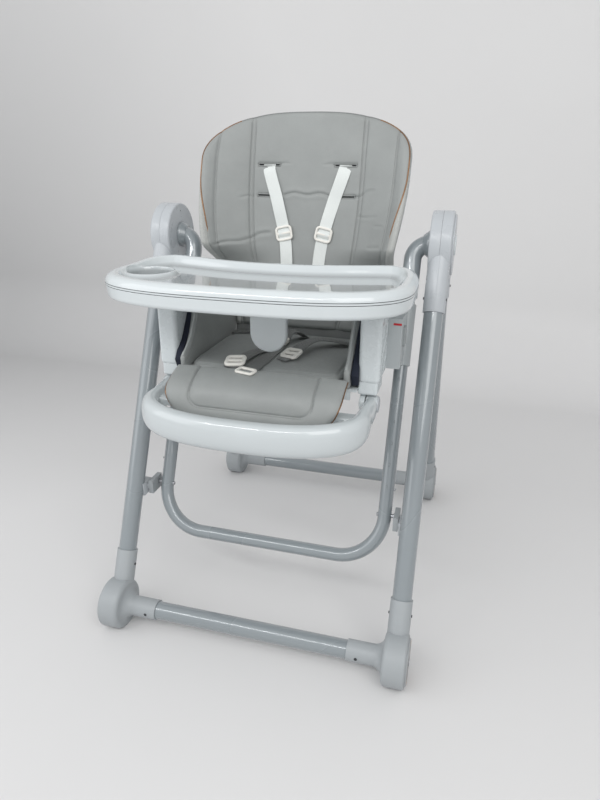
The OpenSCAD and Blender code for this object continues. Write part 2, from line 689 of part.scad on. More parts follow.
// Share of the full section at t: the bar is slimmer towards the pivots
function bar_share(t) = 0.7 + 0.3 * ease(t / 0.45);
bar_drop = 7;
bar_steps = 22;
bar_sides = 20;
ear_x = 150;
calf_pad_x = 168;
module footrest_bar() color(shell_white) rest_frame() {
    ts = [for (i = [0:bar_steps]) i / bar_steps];
    half = [for (t = ts) bar_point(t)];
    shares = [for (t = ts) bar_share(t)];
    line = concat(half, [for (i = [bar_steps - 1:-1:0]) [-half[i][0], half[i][1]]]);
    share = concat(shares, [for (i = [bar_steps - 1:-1:0]) shares[i]]);
    n = len(line);
    pts = [for (i = [0:n - 1]) let (
            a = line[max(0, i - 1)], b = line[min(n - 1, i + 1)],
            len_ab = norm(b - a), nx = -(b[1] - a[1]) / len_ab, ny = (b[0] - a[0]) / len_ab,
            w = max(end_w / 2, share[i] * foot_bar_w / 2), h = share[i] * foot_bar_t / 2)
        for (k = [0:bar_sides - 1]) let (q = 360 * k / bar_sides,
            u = sign(cos(q)) * pow(abs(cos(q)), 0.8) * w, v = sign(sin(q)) * pow(abs(sin(q)), 0.8) * h)
        [line[i][0] + nx * u, line[i][1] + ny * u, v - bar_drop * share[i]]];
    faces = concat(
        [for (i = [0:n - 2]) for (k = [0:bar_sides - 1]) let (k1 = (k + 1) % bar_sides)
            [i * bar_sides + k, (i + 1) * bar_sides + k, (i + 1) * bar_sides + k1, i * bar_sides + k1]],
        [[for (k = [0:bar_sides - 1]) k]],
        [[for (k = [bar_sides - 1:-1:0]) (n - 1) * bar_sides + k]]);
    difference() {
        union() {
            polyhedron(pts, faces);
            both_sides() x_cyl(cap_r, foot_bar_half_w - end_w / 2 + 6, foot_bar_half_w + end_w / 2 + 3);
            both_sides() block([ear_x, -94, -6], [foot_bar_half_w - 12, -68, 10]);
        }
        both_sides() x_cyl(rest_pin_r, 0, 2 * panel_x);
        both_sides() block([0, -26, -40], [panel_in + 14 + slide_gap, 30, 40]);
    }
}

// Calf board: it follows the underside of the calf pad and hangs between the bar's two ears
module calf_plate() color(shell_white) rest_frame() {
    side_profile([[-42, 45.6], [-94, 32.6], [-102.6, 27.6], [-102.6, -6], [-97.6, -6], [-97.6, 24],
        [-92, 28], [-42, 40.6]], -ear_x, ear_x);
    for (x = [-ear_x, ear_x - 4])
        side_profile([[-97.6, -6], [-97.6, 24], [-92, 28], [-64, 35], [-64, -6]], x, x + 4);
}

module calf_pad() color(pad_grey) rest_frame() side_profile([[-42, 64], [-99, 49], [-115, 42], [-120.5, 34],
    [-120.5, -16], [-102.6 - soft_gap, -16], [-102.6 - soft_gap, 27.6 + soft_gap], [-94, 32.6 + soft_gap],
    [-42, 45.6 + soft_gap]], -calf_pad_x, calf_pad_x);

// Pivot pins of the leg rest with their round caps
module pivot_caps() color(hub_grey) at_hub() both_sides() translate([0, rest_y, rest_z]) {
    x_cyl(rest_pin_r, panel_in + 2, foot_bar_half_w + end_w / 2 + 3);
    rounded_disc(cap_r - 2, foot_bar_half_w + end_w / 2 + 3, foot_bar_half_w + end_w / 2 + 6, 0, 1.2);
}

// ---- tray ----

function spow(v, p) = sign(v) * pow(abs(v), p);
// Outline of the tray, set back by inset
function tray_outline(inset) = [for (i = [0:tray_steps - 1]) let (
        a = 360 * i / tray_steps, front = sin(a) < 0, n = front ? 2.9 : 4,
        x = (tray_half_w - inset) * spow(cos(a), 2 / n),
        y = (front ? tray_front_len - inset : tray_rear_len - inset) * spow(sin(a), 2 / n),
        dip = front ? 0 : tray_dip * max(0, 1 - pow(abs(x) / dip_half_w, 2.5)) * min(1, abs(sin(a)) * 4))
    [x, tray_mid + y - dip]];

module tray_slab(inset, z0, z1) translate([0, 0, z0]) linear_extrude(z1 - z0) polygon(tray_outline(inset));

// Top tray: rim, basin and cup recess
basin_floor = tray_h + 3;
module top_tray() color(shell_white) at_hub() difference() {
    union() {
        tray_slab(0, tray_h + slide_gap, tray_h + rim_h - 5);
        tray_slab(3.5, tray_h + rim_h - 5, tray_h + rim_h - 1.5);
        tray_slab(8, tray_h + rim_h - 1.5, tray_h + rim_h);
        translate([cup_x, cup_y, basin_floor + 4 - cup_depth])
            cylinder(h = cup_depth, r = cup_r + tray_floor);
    }
    difference() {
        tray_slab(rim_w, basin_floor, tray_h + rim_h + 1);
        translate([cup_x, cup_y, basin_floor - 1]) cylinder(h = 10, r = cup_r + 9);
    }
    translate([cup_x, cup_y, basin_floor + 4 + tray_floor - cup_depth]) cylinder(h = 60, r = cup_r);
}

// Tray base: skirt, floor, side rails that run on the armrests, and the cup well
rail_h = 8;
module tray_base() color(shell_white) at_hub() difference() {
    union() {
        difference() {
            tray_slab(1, tray_bottom, tray_h);
            tray_slab(5, tray_bottom - 1, tray_h - 6);
        }
        tray_slab(4, tray_h - 9, tray_h);
        both_sides() {
            block([panel_in + 2, tray_mid + 60, arm_h + 0.3], [panel_x - 2, tray_mid + 132, tray_h - 4]);
            for (x = [panel_in - 4, panel_x + slide_gap])
                block([x, tray_mid + 80, arm_h - rail_h], [x + 4 - slide_gap, tray_mid + 132, tray_h - 4]);
        }
        block([-guard_w / 2 - 8, guard_y - 12, tray_h - 20], [guard_w / 2 + 8, guard_y + 24, tray_h - 6]);
    }
    translate([cup_x, cup_y, tray_bottom - 1]) cylinder(h = 60, r = cup_r + tray_floor + 1);
    both_sides() block([button_x0, button_y - button_half, button_z0],
        [tray_half_w + 5, button_y + button_half, button_z1]);
}

module crotch_guard() color(hub_grey) at_hub() translate([0, guard_y, 0]) {
    top = tray_h - 20;
    block([-guard_w / 2, 0, guard_h + guard_w / 2], [guard_w / 2, guard_t, top]);
    translate([0, guard_t, guard_h + guard_w / 2]) rotate([90, 0, 0])
        cylinder(h = guard_t, r = guard_w / 2);
}

// Squeeze button in each end of the tray's skirt that frees it from the armrests
module tray_button(side) color(hub_grey) scale_x(side) at_hub() intersection() {
    block([button_x0 + 2 * button_travel, button_y - button_half + slide_gap, button_z0 + slide_gap],
        [tray_half_w, button_y + button_half - slide_gap, button_z1 - slide_gap]);
    tray_slab(0.5, button_z0, button_z1);
}
module tray_button_left() tray_button(-1);
module tray_button_right() tray_button(1);

front_leg_left();
front_leg_right();
front_crossbar();
front_foot_left();
front_foot_right();
front_hub_left();
front_hub_right();
hub_covers();
fold_button_left();
fold_button_right();
button_springs();
pivot_pins();
lock_bases();
front_screws();
front_axles();
rear_leg_left();
rear_leg_right();
rear_crossbar();
rear_foot_left();
rear_foot_right();
rear_hub_left();
rear_hub_right();
rear_screws();
rear_axles();
wheel_front_left();
wheel_front_right();
wheel_rear_left();
wheel_rear_right();
swing_arm_left();
swing_arm_right();
swing_tube();
pivot_bushes();
swing_studs();
lock_catch_left();
lock_catch_right();
slider_left();
slider_right();
height_button_left();
height_button_right();
lock_marks();
side_panel_left();
side_panel_right();
seat_base();
recline_rod();
seat_pad();
seat_bolsters();
lap_harness();
back_shell();
back_pad();
shoulder_straps();
recline_handle();
footrest_bar();
calf_plate();
calf_pad();
pivot_caps();
tray_base();
crotch_guard();
top_tray();
tray_button_left();
tray_button_right();
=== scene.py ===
"""Folding baby high chair: finishes, pads, straps and studio around its fixed frame.

Lengths are in metres in the chair's own frame: +Z up, the seat faces -Y, and +X is to the right of
someone who looks at the chair's front.
"""

import json
import math

import bmesh
import bpy
import numpy as np
from bpy.props import FloatProperty, FloatVectorProperty, PointerProperty
from bpy.types import Operator, Panel, PropertyGroup
from mathutils import Matrix, Vector
from mathutils.geometry import delaunay_2d_cdt


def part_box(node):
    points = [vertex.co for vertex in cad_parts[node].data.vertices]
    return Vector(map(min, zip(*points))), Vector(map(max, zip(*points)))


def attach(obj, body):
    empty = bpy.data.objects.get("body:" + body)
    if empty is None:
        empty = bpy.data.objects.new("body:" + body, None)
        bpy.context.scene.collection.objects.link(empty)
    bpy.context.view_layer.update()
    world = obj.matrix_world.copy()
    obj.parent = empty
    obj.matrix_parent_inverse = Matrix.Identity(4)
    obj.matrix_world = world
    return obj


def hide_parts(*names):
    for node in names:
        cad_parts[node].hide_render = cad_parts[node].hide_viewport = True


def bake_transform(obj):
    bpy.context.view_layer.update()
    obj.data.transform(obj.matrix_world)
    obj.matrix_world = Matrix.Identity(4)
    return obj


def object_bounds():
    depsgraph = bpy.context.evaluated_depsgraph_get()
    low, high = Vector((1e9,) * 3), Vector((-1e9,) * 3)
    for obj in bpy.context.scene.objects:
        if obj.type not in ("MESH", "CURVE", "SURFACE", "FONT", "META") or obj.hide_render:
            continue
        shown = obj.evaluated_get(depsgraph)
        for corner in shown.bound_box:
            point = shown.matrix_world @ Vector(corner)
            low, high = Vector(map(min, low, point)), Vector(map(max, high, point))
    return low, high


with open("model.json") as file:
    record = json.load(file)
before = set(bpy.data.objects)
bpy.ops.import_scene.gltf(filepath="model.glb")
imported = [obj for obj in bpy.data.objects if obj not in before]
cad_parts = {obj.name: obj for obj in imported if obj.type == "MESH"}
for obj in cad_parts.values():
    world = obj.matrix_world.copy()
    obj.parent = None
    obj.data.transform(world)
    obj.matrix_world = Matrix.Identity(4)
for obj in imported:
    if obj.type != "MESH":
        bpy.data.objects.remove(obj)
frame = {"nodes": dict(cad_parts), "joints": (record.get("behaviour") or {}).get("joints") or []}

bl_info = {
    "name": "Baby high chair",
    "version": (1, 0, 0),
    "blender": (4, 5, 0),
    "location": "3D view > Sidebar > High chair",
    "description": "Finishes, pads and straps of a folding baby high chair",
    "category": "Object",
}

# ---- places that come from the frame ----

JOINTS = {joint["name"]: joint for joint in frame["joints"]}
PIVOT = Vector(JOINTS["swing_pivot"]["pos_m"])
HINGE = Vector(JOINTS["recline"]["pos_m"])
REST = Vector(JOINTS["leg_rest_tilt"]["pos_m"])


def lean_of(joint_name):
    """Lean from vertical of a joint's axis, in radians."""
    axis = JOINTS[joint_name]["axis"]
    return math.atan2(abs(axis[1]), abs(axis[2]))


BACK_LEAN = lean_of("recline_handle_squeeze")
SWING_LEAN = lean_of("seat_height")
REST_LEAN = -math.radians(3.5)

CHAIR_LOW, CHAIR_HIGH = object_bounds()
SEAT_LOW, SEAT_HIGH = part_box("seat_pad")
PANEL_LOW, PANEL_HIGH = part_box("side_panel_right")
TRAY_LOW, TRAY_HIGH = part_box("top_tray")
SKIRT_LOW, SKIRT_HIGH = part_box("tray_base")
GUARD_LOW, GUARD_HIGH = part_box("crotch_guard")
SLIDER_LOW, SLIDER_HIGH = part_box("slider_right")
HUB_Y = PIVOT.y
TRAY_SEAM = SKIRT_HIGH.z
SIDES = (-1, 1)


# ---- sizes and colours that a user may change ----


def length(name, text, value, low=0.0, high=1.0):
    """A length property in metres."""
    return FloatProperty(name=name, description=text, default=value, min=low, max=high,
                         subtype="DISTANCE", unit="LENGTH")


def colour(name, text, value):
    """A colour property."""
    return FloatVectorProperty(name=name, description=text, default=value, size=3, min=0.0, max=1.0,
                               subtype="COLOR")


class ChairPadSizes(PropertyGroup):
    """Stuffing, seams and piping of the soft parts."""

    back_crown: length("Back crown", "How far the middle panel of the back swells", 0.005)
    side_puff: length("Side puff", "How far the side panels of the back swell", 0.004)
    seat_crown: length("Seat crown", "How far the seat cushion swells in the middle", 0.005)
    calf_puff: length("Calf puff", "How far the calf pad's inner panel swells", 0.004)
    seam_depth: length("Seam depth", "How deep the sewn seams pull in", 0.0024)
    piping_radius: length("Piping radius", "Radius of the copper piping", 0.0015)
    strap_width: length("Strap width", "Width of the harness straps", 0.0270)


class ChairTraySizes(PropertyGroup):
    """Rim, basin and cup recess of the tray."""

    rim_outer: length("Outer rim", "Width of the rim's rounded outer half", 0.014)
    rim_flat: length("Rim crest", "Width of the rim's crest", 0.005)
    rim_inner: length("Inner rim", "Width of the slope from the crest to the basin", 0.016)
    rear_lift: length("Rear lift", "How much higher the rim is at the back", 0.004)
    cup_radius: length("Cup radius", "Radius of the cup recess at its crest", 0.043)
    skirt_round: length("Skirt round", "Radius of the skirt's lower edge", 0.009)


class ChairColours(PropertyGroup):
    """Colours of the finishes."""

    tube: colour("Tubes", "Paint of the steel tubes", (0.240, 0.269, 0.285))
    hub: colour("Hubs", "Satin plastic of the hubs", (0.437, 0.462, 0.484))
    foot: colour("Feet", "Matt plastic of the feet", (0.332, 0.355, 0.368))
    shell: colour("Shell", "Glossy plastic of the tray and the seat's shell", (0.575, 0.617, 0.631))
    leather: colour("Pads", "Coated fabric of the pads", (0.283, 0.298, 0.293))
    piping: colour("Piping", "Copper piping and wheel rims", (0.235, 0.135, 0.075))
    strap: colour("Straps", "Satin webbing", (0.740, 0.775, 0.760))
    buckle: colour("Buckles", "Ivory plastic of the adjusters", (0.800, 0.785, 0.735))
    liner: colour("Liner", "Dark blue liner behind the seat's sides", (0.006, 0.010, 0.024))


class ChairStageSizes(PropertyGroup):
    """Floor, wall and lamps."""

    floor: colour("Floor", "Colour of the floor", (0.672, 0.670, 0.670))
    wall: colour("Wall", "Colour of the wall", (0.700, 0.698, 0.696))
    key_power: FloatProperty(name="Key light", description="Power of the large soft lamp", default=21.5,
                             min=0.0, subtype="POWER", unit="POWER")
    fill_power: FloatProperty(name="Fill light", description="Power of the lamp on the other side",
                              default=16.0, min=0.0, subtype="POWER", unit="POWER")
    strip_power: FloatProperty(name="Strip light", description="Power of the narrow lamp in front",
                               default=16.0, min=0.0, subtype="POWER", unit="POWER")
    horizon: FloatProperty(name="Horizon", description="Brightness of the background beyond the paper",
                           default=0.60, min=0.0)
    sky: FloatProperty(name="Sky", description="Strength of the even light from all sides",
                       default=0.77, min=0.0)


def pads():
    """The user's pad sizes."""
    return bpy.context.scene.chair_pads


def tray_sizes():
    """The user's tray sizes."""
    return bpy.context.scene.chair_tray


def colours():
    """The user's colours."""
    return bpy.context.scene.chair_colours


# ---- curves and grids ----


def ease(value):
    """Smooth step from 0 to 1."""
    t = np.clip(value, 0.0, 1.0)
    return t * t * (3 - 2 * t)


def spow(value, power):
    """Power that keeps its sign."""
    return np.sign(value) * np.abs(value) ** power


def dent(distance, width):
    """Bell of height 1 at distance 0."""
    return np.exp(-(distance / width) ** 2)


def graded(low, high, coarse, marks=(), fine=0.0008, growth=0.35):
    """Steps from low to high that shrink to fine near each mark."""
    values = [low]
    while values[-1] < high:
        near = min((abs(values[-1] - mark) for mark in marks), default=coarse)
        values.append(values[-1] + min(coarse, fine + growth * near))
    values = np.array(values)
    return low + (values - low) * (high - low) / (values[-1] - low)


def smooth_path(points, count):
    """Even steps along a smooth curve through the points."""
    p = np.asarray(points, float)
    padded = np.vstack([2 * p[0] - p[1], p, 2 * p[-1] - p[-2]])
    samples = []
    for i in range(len(p) - 1):
        a, b, c, d = padded[i:i + 4]
        for t in np.linspace(0, 1, 24, endpoint=False):
            samples.append(0.5 * (2 * b + (c - a) * t + (2 * a - 5 * b + 4 * c - d) * t ** 2
                                  + (3 * b - a - 3 * c + d) * t ** 3))
    samples = np.array(samples + [p[-1]])
    lengths = np.concatenate([[0], np.cumsum(np.linalg.norm(np.diff(samples, axis=0), axis=1))])
    even = np.linspace(0, lengths[-1], count)
    return np.column_stack([np.interp(even, lengths, samples[:, k]) for k in range(p.shape[1])])


def rounded_outline(corners, radii, steps=6):
    """Closed outline with each corner turned into an arc."""
    corners = np.asarray(corners, float)
    if np.isscalar(radii):
        radii = [radii] * len(corners)
    outline = []
    for i, radius in enumerate(radii):
        here = corners[i]
        before = corners[i - 1] - here
        after = corners[(i + 1) % len(corners)] - here
        before /= np.linalg.norm(before)
        after /= np.linalg.norm(after)
        half = math.acos(float(np.clip(before @ after, -1, 1))) / 2
        if radius <= 0 or half > math.radians(89.5):
            outline.append(here)
            continue
        start = here + before * radius / math.tan(half)
        stop = here + after * radius / math.tan(half)
        centre = here + (before + after) / np.linalg.norm(before + after) * radius / math.sin(half)
        for t in np.linspace(0, 1, steps):
            turn = (start - centre) * (1 - t) + (stop - centre) * t
            outline.append(centre + turn / np.linalg.norm(turn) * radius)
    return np.array(outline)


def outline_normals(outline):
    """Outward normals of a closed outline that runs counter-clockwise."""
    ahead = np.roll(outline, -1, axis=0) - outline
    behind = outline - np.roll(outline, 1, axis=0)
    tangent = (ahead / np.linalg.norm(ahead, axis=1)[:, None]
               + behind / np.linalg.norm(behind, axis=1)[:, None])
    tangent /= np.linalg.norm(tangent, axis=1)[:, None]
    return np.column_stack([tangent[:, 1], -tangent[:, 0]])


def ccw(outline):
    """The outline, turned so that it runs counter-clockwise."""
    x, y = outline[:, 0], outline[:, 1]
    area = np.sum(x * np.roll(y, -1) - y * np.roll(x, -1))
    return outline if area > 0 else outline[::-1]


def tilted(points, origin, lean):
    """Points of a local frame that stands at origin and leans back by lean."""
    p = np.asarray(points, float)
    c, s = math.cos(lean), math.sin(lean)
    out = np.empty_like(p)
    out[..., 0] = p[..., 0] + origin[0]
    out[..., 1] = p[..., 1] * c + p[..., 2] * s + origin[1]
    out[..., 2] = -p[..., 1] * s + p[..., 2] * c + origin[2]
    return out


def on_back(points):
    """Points of the backrest's frame: its origin is the recline hinge and +Z runs up the back."""
    return tilted(points, HINGE, BACK_LEAN)


def on_rest(points):
    """Points of the leg rest's frame: its origin is the tilt hinge and -Y runs along the raised rest."""
    return tilted(points, REST, REST_LEAN)


def on_tube(points, side):
    """Points of one side of the seat tube: the origin is on the pivot axis and -Z runs down the tube."""
    track = (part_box("swing_tube")[1].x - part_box("swing_tube")[0].x) / 2 - 0.014
    return tilted(points, (side * track, PIVOT.y, PIVOT.z), SWING_LEAN)


# ---- mesh building ----


def grid_faces(rows, columns, wrap=False, base=0, flip=False):
    """Quads of a grid of points; wrap joins its last column to its first."""
    faces = []
    for r in range(rows - 1):
        for c in range(columns if wrap else columns - 1):
            d = (c + 1) % columns
            quad = (base + r * columns + c, base + r * columns + d,
                    base + (r + 1) * columns + d, base + (r + 1) * columns + c)
            faces.append(quad[::-1] if flip else quad)
    return faces


class Shape:
    """Vertices and faces that are gathered before they become one mesh."""

    def __init__(self):
        self.points = []
        self.faces = []
        self.slots = []

    def add(self, points, faces, slot=0):
        """Adds faces given by their indices into points."""
        base = len(self.points)
        self.points.extend(np.asarray(points, float).reshape(-1, 3).tolist())
        self.faces.extend(tuple(base + i for i in face) for face in faces)
        self.slots.extend([slot] * len(faces))
        return self

    def rings(self, rings, slot=0, closed=False, caps=True):
        """Adds a skin over rings of points, with flat caps at its ends unless it is closed."""
        rings = np.asarray(rings, float)
        rows, columns = rings.shape[:2]
        faces = grid_faces(rows, columns, wrap=True)
        if closed:
            faces += [(( rows - 1) * columns + c, (rows - 1) * columns + (c + 1) % columns,
                       (c + 1) % columns, c) for c in range(columns)]
        elif caps:
            faces.append(tuple(range(columns))[::-1])
            faces.append(tuple((rows - 1) * columns + c for c in range(columns)))
        return self.add(rings, faces, slot)

    def pillow(self, front, back, slot=0):
        """Adds a closed form between two grids that share their border."""
        rows, columns = front.shape[:2]
        self.add(front, grid_faces(rows, columns), slot)
        return self.add(back, grid_faces(rows, columns, flip=True), slot)

    def slab(self, outline, low, high, radius, place, slot=0, steps=4):
        """Adds an outline extruded from low to high with rounded edges; place turns (u, v, depth) into 3D."""
        outline = ccw(np.asarray(outline, float))
        normals = outline_normals(outline)
        turns = np.linspace(0, math.pi / 2, steps + 1)
        levels = [(radius * (1 - math.sin(t)), low + radius * (1 - math.cos(t))) for t in turns]
        levels += [(radius * (1 - math.sin(t)), high - radius * (1 - math.cos(t))) for t in turns[::-1]]
        rings = []
        for inset, depth in levels:
            flat = outline - normals * inset
            rings.append(place(np.column_stack([flat, np.full(len(flat), depth)])))
        return self.rings(rings, slot)

    def tube(self, path, radius, slot=0, closed=False, sides=12, up=None):
        """Adds a round tube along a path."""
        turn = np.linspace(0, 2 * math.pi, sides, endpoint=False)
        section = np.column_stack([np.cos(turn), np.sin(turn)]) * radius
        return self.rings(sweep(path, section, closed, up), slot, closed)


def sweep(path, section, closed=False, up=None):
    """Rings of a section, one for each point of the path; up steers the section's second axis."""
    path = np.asarray(path, float)
    if closed:
        tangent = np.roll(path, -1, axis=0) - np.roll(path, 1, axis=0)
    else:
        tangent = np.gradient(path, axis=0)
    tangent /= np.linalg.norm(tangent, axis=1)[:, None]
    section = np.asarray(section, float)
    if section.ndim == 2:
        section = np.repeat(section[None], len(path), axis=0)
    if up is None:
        start = np.array([0.0, 0.0, 1.0]) if abs(tangent[0][2]) < 0.9 else np.array([0.0, 1.0, 0.0])
        ups = [start]
        for t in tangent:
            nxt = ups[-1] - t * (ups[-1] @ t)
            ups.append(nxt / np.linalg.norm(nxt))
        up = np.array(ups[1:])
    else:
        up = np.broadcast_to(np.asarray(up, float), path.shape)
        up = up - tangent * np.sum(up * tangent, axis=1)[:, None]
        up = up / np.linalg.norm(up, axis=1)[:, None]
    across = np.cross(tangent, up)
    return path[:, None] + across[:, None] * section[..., :1] + up[:, None] * section[..., 1:]


def make_piece(name, shape, materials, body, replaced=(), smooth=40.0, weld=1e-6):
    """A mesh object that rides on a body, if one is given. Edges sharper than smooth degrees stay crisp."""
    mesh = bpy.data.meshes.new(name)
    mesh.from_pydata(shape.points, [], shape.faces)
    mesh.polygons.foreach_set("material_index", shape.slots)
    tidy = bmesh.new()
    tidy.from_mesh(mesh)
    bmesh.ops.remove_doubles(tidy, verts=tidy.verts, dist=weld)
    bmesh.ops.dissolve_degenerate(tidy, edges=tidy.edges, dist=weld)
    bmesh.ops.recalc_face_normals(tidy, faces=tidy.faces)
    for face in tidy.faces:
        face.smooth = True
    limit = math.radians(smooth)
    for edge in tidy.edges:
        if len(edge.link_faces) == 2 and edge.calc_face_angle(0) > limit:
            edge.smooth = False
    tidy.to_mesh(mesh)
    tidy.free()
    piece = bpy.data.objects.new(name, mesh)
    bpy.context.scene.collection.objects.link(piece)
    for material in materials:
        mesh.materials.append(material)
    if body:
        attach(piece, body)
    if replaced:
        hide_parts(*replaced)
    return piece


def carve(piece, low, high):
    """Cuts a box out of a piece."""
    cutter_mesh = bpy.data.meshes.new("cutter")
    build = bmesh.new()
    size = Vector(high) - Vector(low)
    centre = (Vector(high) + Vector(low)) / 2
    bmesh.ops.create_cube(build, size=1, matrix=Matrix.Translation(centre) @ Matrix.Diagonal((*size, 1)))
    build.to_mesh(cutter_mesh)
    build.free()
    cutter = bpy.data.objects.new("cutter", cutter_mesh)
    bpy.context.scene.collection.objects.link(cutter)
    cut = piece.modifiers.new("carve", "BOOLEAN")
    cut.operation = "DIFFERENCE"
    cut.object = cutter
    apply_modifiers(piece)
    bpy.data.objects.remove(cutter)


def apply_modifiers(piece):
    """Turns a piece's modifiers into its mesh."""
    bpy.context.view_layer.update()
    graph = bpy.context.evaluated_depsgraph_get()
    mesh = bpy.data.meshes.new_from_object(piece.evaluated_get(graph))
    piece.modifiers.clear()
    piece.data = mesh


def flatten_shading(piece):
    """Keeps large flat faces flat in the shading and leaves the turn to the rounded edges."""
    flat = piece.modifiers.new("flat faces", "WEIGHTED_NORMAL")
    flat.keep_sharp = True
    flat.weight = 100


def stitches(shape, path, normal, slot=0, pitch=0.0045, length_share=0.68, radius=0.00045):
    """Adds a row of short threads that lie along a path."""
    path = np.asarray(path, float)
    steps = np.concatenate([[0], np.cumsum(np.linalg.norm(np.diff(path, axis=0), axis=1))])
    count = int(steps[-1] / pitch)
    for k in range(count):
        ends = np.linspace(k * pitch, (k + length_share) * pitch, 4)
        thread = np.column_stack([np.interp(ends, steps, path[:, i]) for i in range(3)])
        lift = np.array([0.0, 0.6, 0.6, 0.0])[:, None] * radius
        shape.tube(thread + np.asarray(normal) * lift, radius, slot, sides=5)
    return shape


# ---- finishes ----

WHEELS = ("wheel_front_left", "wheel_front_right", "wheel_rear_left", "wheel_rear_right")
# How dark the painted shade in the tray's basin is, as a share of the plastic's own colour.
BASIN_PAINTED_SHADE = 0.56


class Finish:
    """A node material around one Principled shader."""

    def __init__(self, name, base, roughness, **sockets):
        self.material = bpy.data.materials.new(name)
        self.material.use_nodes = True
        self.nodes = self.material.node_tree.nodes
        self.links = self.material.node_tree.links
        self.shader = self.nodes["Principled BSDF"]
        self.place = self.nodes.new("ShaderNodeTexCoord").outputs["Object"]
        self.base = tuple(base)
        self.set("Base Color", (*self.base, 1.0))
        self.set("Roughness", roughness)
        for label, value in sockets.items():
            self.set(label.replace("_", " "), value)
        self.normal = None

    def set(self, label, value):
        """Sets a number or colour on the shader's own socket."""
        self.shader.inputs[label].default_value = value

    def node(self, kind, **settings):
        """A new node; settings name its inputs or its own options."""
        node = self.nodes.new(kind)
        for label, value in settings.items():
            if hasattr(node, label):
                setattr(node, label, value)
            else:
                node.inputs[label.replace("_", " ")].default_value = value
        return node

    def stretched(self, scale, turn=(0.0, 0.0, 0.0), source=None):
        """Coordinates scaled per axis."""
        mapping = self.node("ShaderNodeMapping")
        mapping.inputs["Scale"].default_value = scale
        mapping.inputs["Rotation"].default_value = turn
        self.links.new(source or self.place, mapping.inputs["Vector"])
        return mapping.outputs["Vector"]

    def noise(self, scale, detail=3.0, rough=0.5, source=None):
        """Noise of a given number of patches per metre."""
        node = self.node("ShaderNodeTexNoise", Scale=scale, Detail=detail, Roughness=rough)
        self.links.new(source or self.place, node.inputs["Vector"])
        return node.outputs["Fac"]

    def cells(self, scale, feature="F1", source=None):
        """Distance to the middle or edge of random cells."""
        node = self.node("ShaderNodeTexVoronoi", Scale=scale)
        node.feature = feature
        self.links.new(source or self.place, node.inputs["Vector"])
        return node.outputs["Distance"]

    def remap(self, value, low, high, new_low, new_high):
        """The value moved from one range to another."""
        node = self.node("ShaderNodeMapRange")
        limits = {"From Min": low, "From Max": high, "To Min": new_low, "To Max": new_high}
        for label, number in limits.items():
            node.inputs[label].default_value = number
        self.links.new(value, node.inputs["Value"])
        return node.outputs["Result"]

    def blend_colours(self, factor, first, second):
        """Mix of two colours; either may be a socket."""
        node = self.node("ShaderNodeMix", data_type="RGBA")
        self.links.new(factor, node.inputs["Factor"])
        for socket, value in zip((node.inputs[6], node.inputs[7]), (first, second)):
            if isinstance(value, tuple):
                socket.default_value = (*value, 1.0)
            else:
                self.links.new(value, socket)
        return node.outputs[2]

    def mottle(self, value, spread, low=0.35, high=0.65):
        """Makes the base colour vary with a value by a share of itself."""
        factor = self.remap(value, low, high, 0.0, 1.0)
        dark = tuple(c * (1 - spread) for c in self.base)
        pale = tuple(min(1.0, c * (1 + spread)) for c in self.base)
        out = self.blend_colours(factor, dark, pale)
        self.links.new(out, self.shader.inputs["Base Color"])
        return out

    def tint(self, factor, colour_value):
        """Lays another colour over the base colour where the factor is 1."""
        socket = self.shader.inputs["Base Color"]
        under = socket.links[0].from_socket if socket.is_linked else self.base
        self.links.new(self.blend_colours(factor, under, tuple(colour_value)), socket)

    def gloss(self, value, low, high, source_low=0.35, source_high=0.65):
        """Makes the roughness vary between two numbers."""
        self.links.new(self.remap(value, source_low, source_high, low, high), self.shader.inputs["Roughness"])

    def bump(self, value, height, strength=1.0):
        """Adds a surface relief of a given height in metres."""
        node = self.node("ShaderNodeBump", Distance=height, Strength=strength)
        self.links.new(value, node.inputs["Height"])
        if self.normal is not None:
            self.links.new(self.normal, node.inputs["Normal"])
        self.normal = node.outputs["Normal"]
        self.links.new(self.normal, self.shader.inputs["Normal"])

    def wear(self, amount, scale=90.0):
        """Small scuffs and dust: patches that are a little darker."""
        patches = self.remap(self.noise(scale, 6.0, 0.65), 0.60, 0.74, 0.0, amount)
        self.tint(patches, tuple(c * 0.82 for c in self.base))


def tube_finish(name, base):
    """Glossy paint over steel tube: an even colour under a clear coat."""
    finish = Finish(name, base, 0.30, Metallic=0.10, Coat_Weight=1.0, Coat_Roughness=0.06)
    finish.mottle(finish.noise(3.0, 1.0), 0.015)
    finish.gloss(finish.noise(4.0, 1.0), 0.26, 0.30)
    return finish.material


def gloss_finish(name, base, roughness=0.16):
    """Moulded plastic with a polished face."""
    finish = Finish(name, base, roughness, Coat_Weight=0.5, Coat_Roughness=0.05)
    finish.mottle(finish.noise(5.0, 3.0), 0.018)
    finish.wear(0.05, 30.0)
    finish.gloss(finish.noise(30.0, 5.0, 0.6), roughness * 0.8, roughness * 1.35)
    finish.bump(finish.noise(16.0, 2.0), 0.00012, 0.25)
    return finish.material


def basin_painted_shade_finish(name, base):
    """The polished plastic of the tray's basin, with painted shade that makes it darker towards its floor."""
    finish = Finish(name, base, 0.14, Coat_Weight=1.0, Coat_Roughness=0.02)
    finish.mottle(finish.noise(5.0, 3.0), 0.018)
    height = finish.node("ShaderNodeSeparateXYZ")
    finish.links.new(finish.place, height.inputs["Vector"])
    # Painted shade: the colour darkens below the rim's slope towards the basin floor.
    basin = finish.remap(height.outputs["Z"], TRAY_SEAM + 0.0045, TRAY_SEAM + 0.0120, 1.0, 0.0)
    finish.tint(basin, tuple(v * BASIN_PAINTED_SHADE for v in base))
    finish.wear(0.05, 30.0)
    finish.gloss(finish.noise(20.0, 3.0, 0.5), 0.11, 0.17)
    finish.bump(finish.noise(12.0, 1.0), 0.00006, 0.2)
    return finish.material


